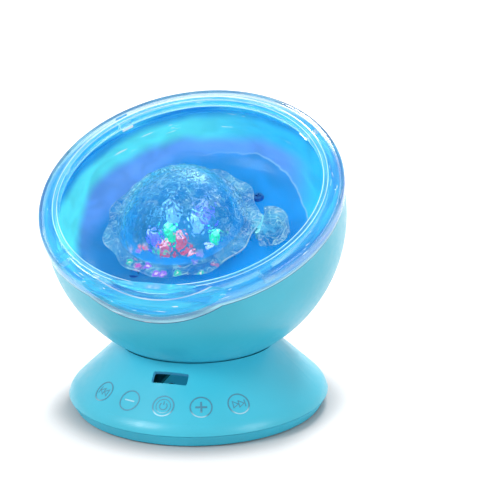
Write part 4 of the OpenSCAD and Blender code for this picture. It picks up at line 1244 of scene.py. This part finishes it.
class PROJECTOR_OT_dome(Operator):
    """Build the clear rippled dome"""
    bl_idname = "projector.dome"
    bl_label = "Ripple dome"

    seed = 3.0

    def execute(self, context):
        look = looks("dome")
        low, high = DOME_FOOT.z, self.top()
        rise = high - low
        ball = (look.foot ** 2 + rise ** 2) / (2 * rise)
        mid = high - ball
        profile = self.profile(look, low, ball, mid)
        mesh = turned_mesh("ripple_dome_form", profile, look.spokes, DOME,
                           lambda r, z, a: self.wavy(look, r, z, a, low))
        piece = new_object("ripple_dome_clear", mesh)
        graph, keys = ripple_tree()
        run_tree(piece, graph, keys, {
            "Ripple depth": look.depth, "Ripple size": look.cell, "Seed": self.seed,
            "Material": ripple_finish("ripple_dome_clear", DOME, 1.38, calm=0.3),
        })
        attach(piece, "dome")
        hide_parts("ripple_dome")
        return {"FINISHED"}

    @staticmethod
    def top():
        """Height of the dome's top over the tilt axis, along the bowl's axis."""
        place = BOWL.inverted()
        return max((place @ v.co).z for v in NODES["ripple_dome"].data.vertices)

    @staticmethod
    def profile(look, low, ball, mid):
        """Outer face from the top down, the flange, and the inner face back to the top."""
        edge = low + look.flange_t
        foot_angle = math.asin((edge - mid) / ball)
        points = []
        # The mark is the share of the ripples: they fade out over the lowest twelfth
        for ring in range(look.rings + 1):
            angle = math.pi / 2 + (foot_angle - math.pi / 2) * ring / look.rings
            fade = min(1.0, 12 * (1 - ring / look.rings))
            radius = 0.0 if ring == 0 else ball * math.cos(angle)
            points.append((radius, mid + ball * math.sin(angle), fade))
        # The flange has faint ripples on top and a round rim, whose upper half is marked -1 for
        # a painted highlight
        corner, half, steps, faint = look.flange_t / 3, look.flange_t / 2, 8, 0.25
        start, end = points[-1][0], look.flange - corner
        for step in range(1, steps + 1):
            points.append((start + (end - start) * step / steps, edge, faint))
        for step in range(1, steps):
            angle = math.pi / 2 - math.pi * step / steps
            lit = -1.0 if step < steps / 2 else 0.0
            points.append((end + corner * math.cos(angle), low + half + half * math.sin(angle),
                           lit))
        points.append((end, low, 0.0))
        points.append((look.bore, low, 0.0))
        step_z = low + look.step
        inner = ball - look.wall
        points.append((look.bore, step_z, 0.0))
        start = math.asin((step_z - mid) / inner)
        rings = look.rings // 3
        for ring in range(rings + 1):
            angle = start + (math.pi / 2 - start) * ring / rings
            radius = 0.0 if ring == rings else inner * math.cos(angle)
            points.append((radius, mid + inner * math.sin(angle), 0.0))
        return points

    @staticmethod
    def wavy(look, radius, height, angle, low):
        """Radius of the flange's uneven outline: waves of 11 and of 7 crests."""
        if radius <= look.foot + 0.1 * MM or height > low + look.flange_t + 0.01 * MM:
            return radius
        share = (radius - look.foot) / (look.flange - look.foot)
        wave = 0.7 * math.sin(11 * angle) + 0.3 * math.sin(7 * angle + 1.3)
        return radius + share * look.flange_wave * wave


class PROJECTOR_OT_lamps(Operator):
    """Light the lamps and finish their board"""
    bl_idname = "projector.lamps"
    bl_label = "Lamps"

    def execute(self, context):
        look = looks("lamps")
        for colour in ("red", "green", "blue", "white"):
            give(lamp_finish(colour + "_lamp", getattr(look, colour)), colour + "_leds")
        give(board_finish("lamp_board", (0.04, 0.26, 0.50), (0.02, 0.16, 0.34)), "led_board")
        return {"FINISHED"}


class PROJECTOR_OT_drive(Operator):
    """Finish the gears, the bearing, the motor and its guard"""
    bl_idname = "projector.drive"
    bl_label = "Dome drive"

    def execute(self, context):
        give(moulded_finish("blue_bearing", (0.02, 0.24, 0.56), 0.35, 0.4 * MM),
             "dome_bearing", "dome_retainer")
        give(clear_finish("clear_gear", (0.75, 0.93, 1.0), 1.08, 0.05), "dome_gear")
        give(moulded_finish("pinion_plastic", (0.22, 0.58, 0.60), 0.35, 0.4 * MM),
             "drive_pinion")
        give(metal_finish("motor_can", (0.62, 0.63, 0.65), 0.34), "gear_motor")
        give(metal_finish("zinc_plate", (0.55, 0.57, 0.60), 0.42), "motor_bracket")
        give(metal_finish("ground_steel", (0.66, 0.66, 0.68), 0.2), "motor_shaft")
        give(ripple_finish("clear_guard", DOME, 1.45, seed=0.2, calm=1.0, bump=1.0,
                           polish=0.22), "pinion_guard")
        return {"FINISHED"}


class PROJECTOR_OT_tilt_joint(Operator):
    """Finish the stem, the friction pad, the saddle, the washer and the nut"""
    bl_idname = "projector.tilt_joint"
    bl_label = "Tilt joint"

    def execute(self, context):
        give(moulded_finish("stem_plastic", (0.74, 0.74, 0.71), 0.42, 0.4 * MM),
             "tilt_stem", "tilt_saddle")
        give(moulded_finish("dark_foam", (0.03, 0.03, 0.034), 0.95, 0.3 * MM, bump=0.6),
             "friction_pad", "touch_pads")
        give(metal_finish("spring_steel", (0.60, 0.61, 0.63), 0.25),
             "spring_washer", "stem_nut")
        return {"FINISHED"}


class PROJECTOR_OT_electronics(Operator):
    """Finish the boards, the connectors and the loudspeaker"""
    bl_idname = "projector.electronics"
    bl_label = "Boards and loudspeaker"

    def execute(self, context):
        give(board_finish("green_board", (0.010, 0.105, 0.045), (0.035, 0.22, 0.09)),
             "touch_board", "main_board", "port_board")
        black = moulded_finish("black_moulding", (0.014, 0.014, 0.016), 0.3, 0.3 * MM)
        give(black, "board_chips", "ir_receiver", "audio_jack", "speaker_frame")
        give(metal_finish("tinned_shell", (0.70, 0.70, 0.71), 0.3), "usb_inlet", "card_slot")
        give(paper_finish(), "speaker_cone")
        give(metal_finish("magnet_plate", (0.45, 0.46, 0.48), 0.4), "speaker_magnet")
        return {"FINISHED"}


class PROJECTOR_OT_screws(Operator):
    """Build the cross-head screws of the base, the boards, the reflector and the motor"""
    bl_idname = "projector.screws"
    bl_label = "Screws"

    # Node, body, way the heads face, head radius, head height, shank radius, in mm
    kinds = (
        ("base_screws", "base", (0, 0, -1), 2.3, 1.5, 1.3),
        ("board_screws", "base", (0, 0, 1), 1.8, 1.2, 0.9),
        ("reflector_screws", "bowl", BOWL_Z, 2.4, 1.3, 1.2),
        ("motor_screws", "bowl", -BOWL_Z, 2.0, 1.2, 1.05),
    )

    def execute(self, context):
        zinc = metal_finish("zinc_screw", (0.60, 0.62, 0.65), 0.3)
        # Painted light: the reflector's screws are coloured with the reflector's blue glow
        blue_lit = metal_finish("blue_lit_screw", (0.02, 0.20, 0.50), 0.35)
        for node, body, facing, head, head_h, shank in self.kinds:
            frame_of = Vector(facing).to_track_quat("Z", "Y").to_matrix().to_4x4()
            spots, low, top = self.places(node, frame_of.inverted())
            mesh = bpy.data.meshes.new(node)
            mesh.from_pydata(spots, [], [])
            piece = new_object(node + "_cross_head", mesh)
            graph, keys = screw_tree()
            mesh = run_tree(piece, graph, keys, {
                "Head radius": head * MM, "Head height": head_h * MM,
                "Shank radius": shank * MM, "Length": top - low,
                "Material": blue_lit if node == "reflector_screws" else zinc,
            })
            mesh.transform(frame_of)
            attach(piece, body)
            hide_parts(node)
        return {"FINISHED"}

    @staticmethod
    def places(node, turn):
        """Where each screw's head ends, and the lowest and highest point."""
        spots, low, top = [], 0.0, 0.0
        for island in islands(node):
            points = [turn @ point for point in island]
            xs, ys, zs = ([point[axis] for point in points] for axis in range(3))
            low, top = min(zs), max(zs)
            spots.append(((min(xs) + max(xs)) / 2, (min(ys) + max(ys)) / 2, top))
        return spots, low, top


class PROJECTOR_PT_panel(Panel):
    """Lists the projector's pieces and their settings"""
    bl_idname = "PROJECTOR_PT_panel"
    bl_label = "Ripple light projector"
    bl_space_type = "VIEW_3D"
    bl_region_type = "UI"
    bl_category = "Projector"

    def draw(self, context):
        for operator in OPERATORS:
            self.layout.operator(operator.bl_idname)
        for name, group in LOOKS.items():
            box = self.layout.box()
            box.label(text=name.capitalize())
            for key in group.__annotations__:
                box.prop(looks(name), key)


OPERATORS = (
    PROJECTOR_OT_camera, PROJECTOR_OT_stage, PROJECTOR_OT_shells, PROJECTOR_OT_keys,
    PROJECTOR_OT_cover, PROJECTOR_OT_reflector, PROJECTOR_OT_dome, PROJECTOR_OT_lamps,
    PROJECTOR_OT_drive, PROJECTOR_OT_tilt_joint, PROJECTOR_OT_electronics,
    PROJECTOR_OT_screws,
)
CLASSES = (*LOOKS.values(), *OPERATORS, PROJECTOR_PT_panel)


def register():
    for entry in CLASSES:
        bpy.utils.register_class(entry)
    for name, group in LOOKS.items():
        setattr(bpy.types.Scene, "projector_" + name, PointerProperty(type=group))


def unregister():
    for name in LOOKS:
        delattr(bpy.types.Scene, "projector_" + name)
    for entry in reversed(CLASSES):
        bpy.utils.unregister_class(entry)


def main():
    register()
    for operator in OPERATORS:
        group, name = operator.bl_idname.split(".")
        getattr(getattr(bpy.ops, group), name)()


if __name__ == "__main__":
    main()
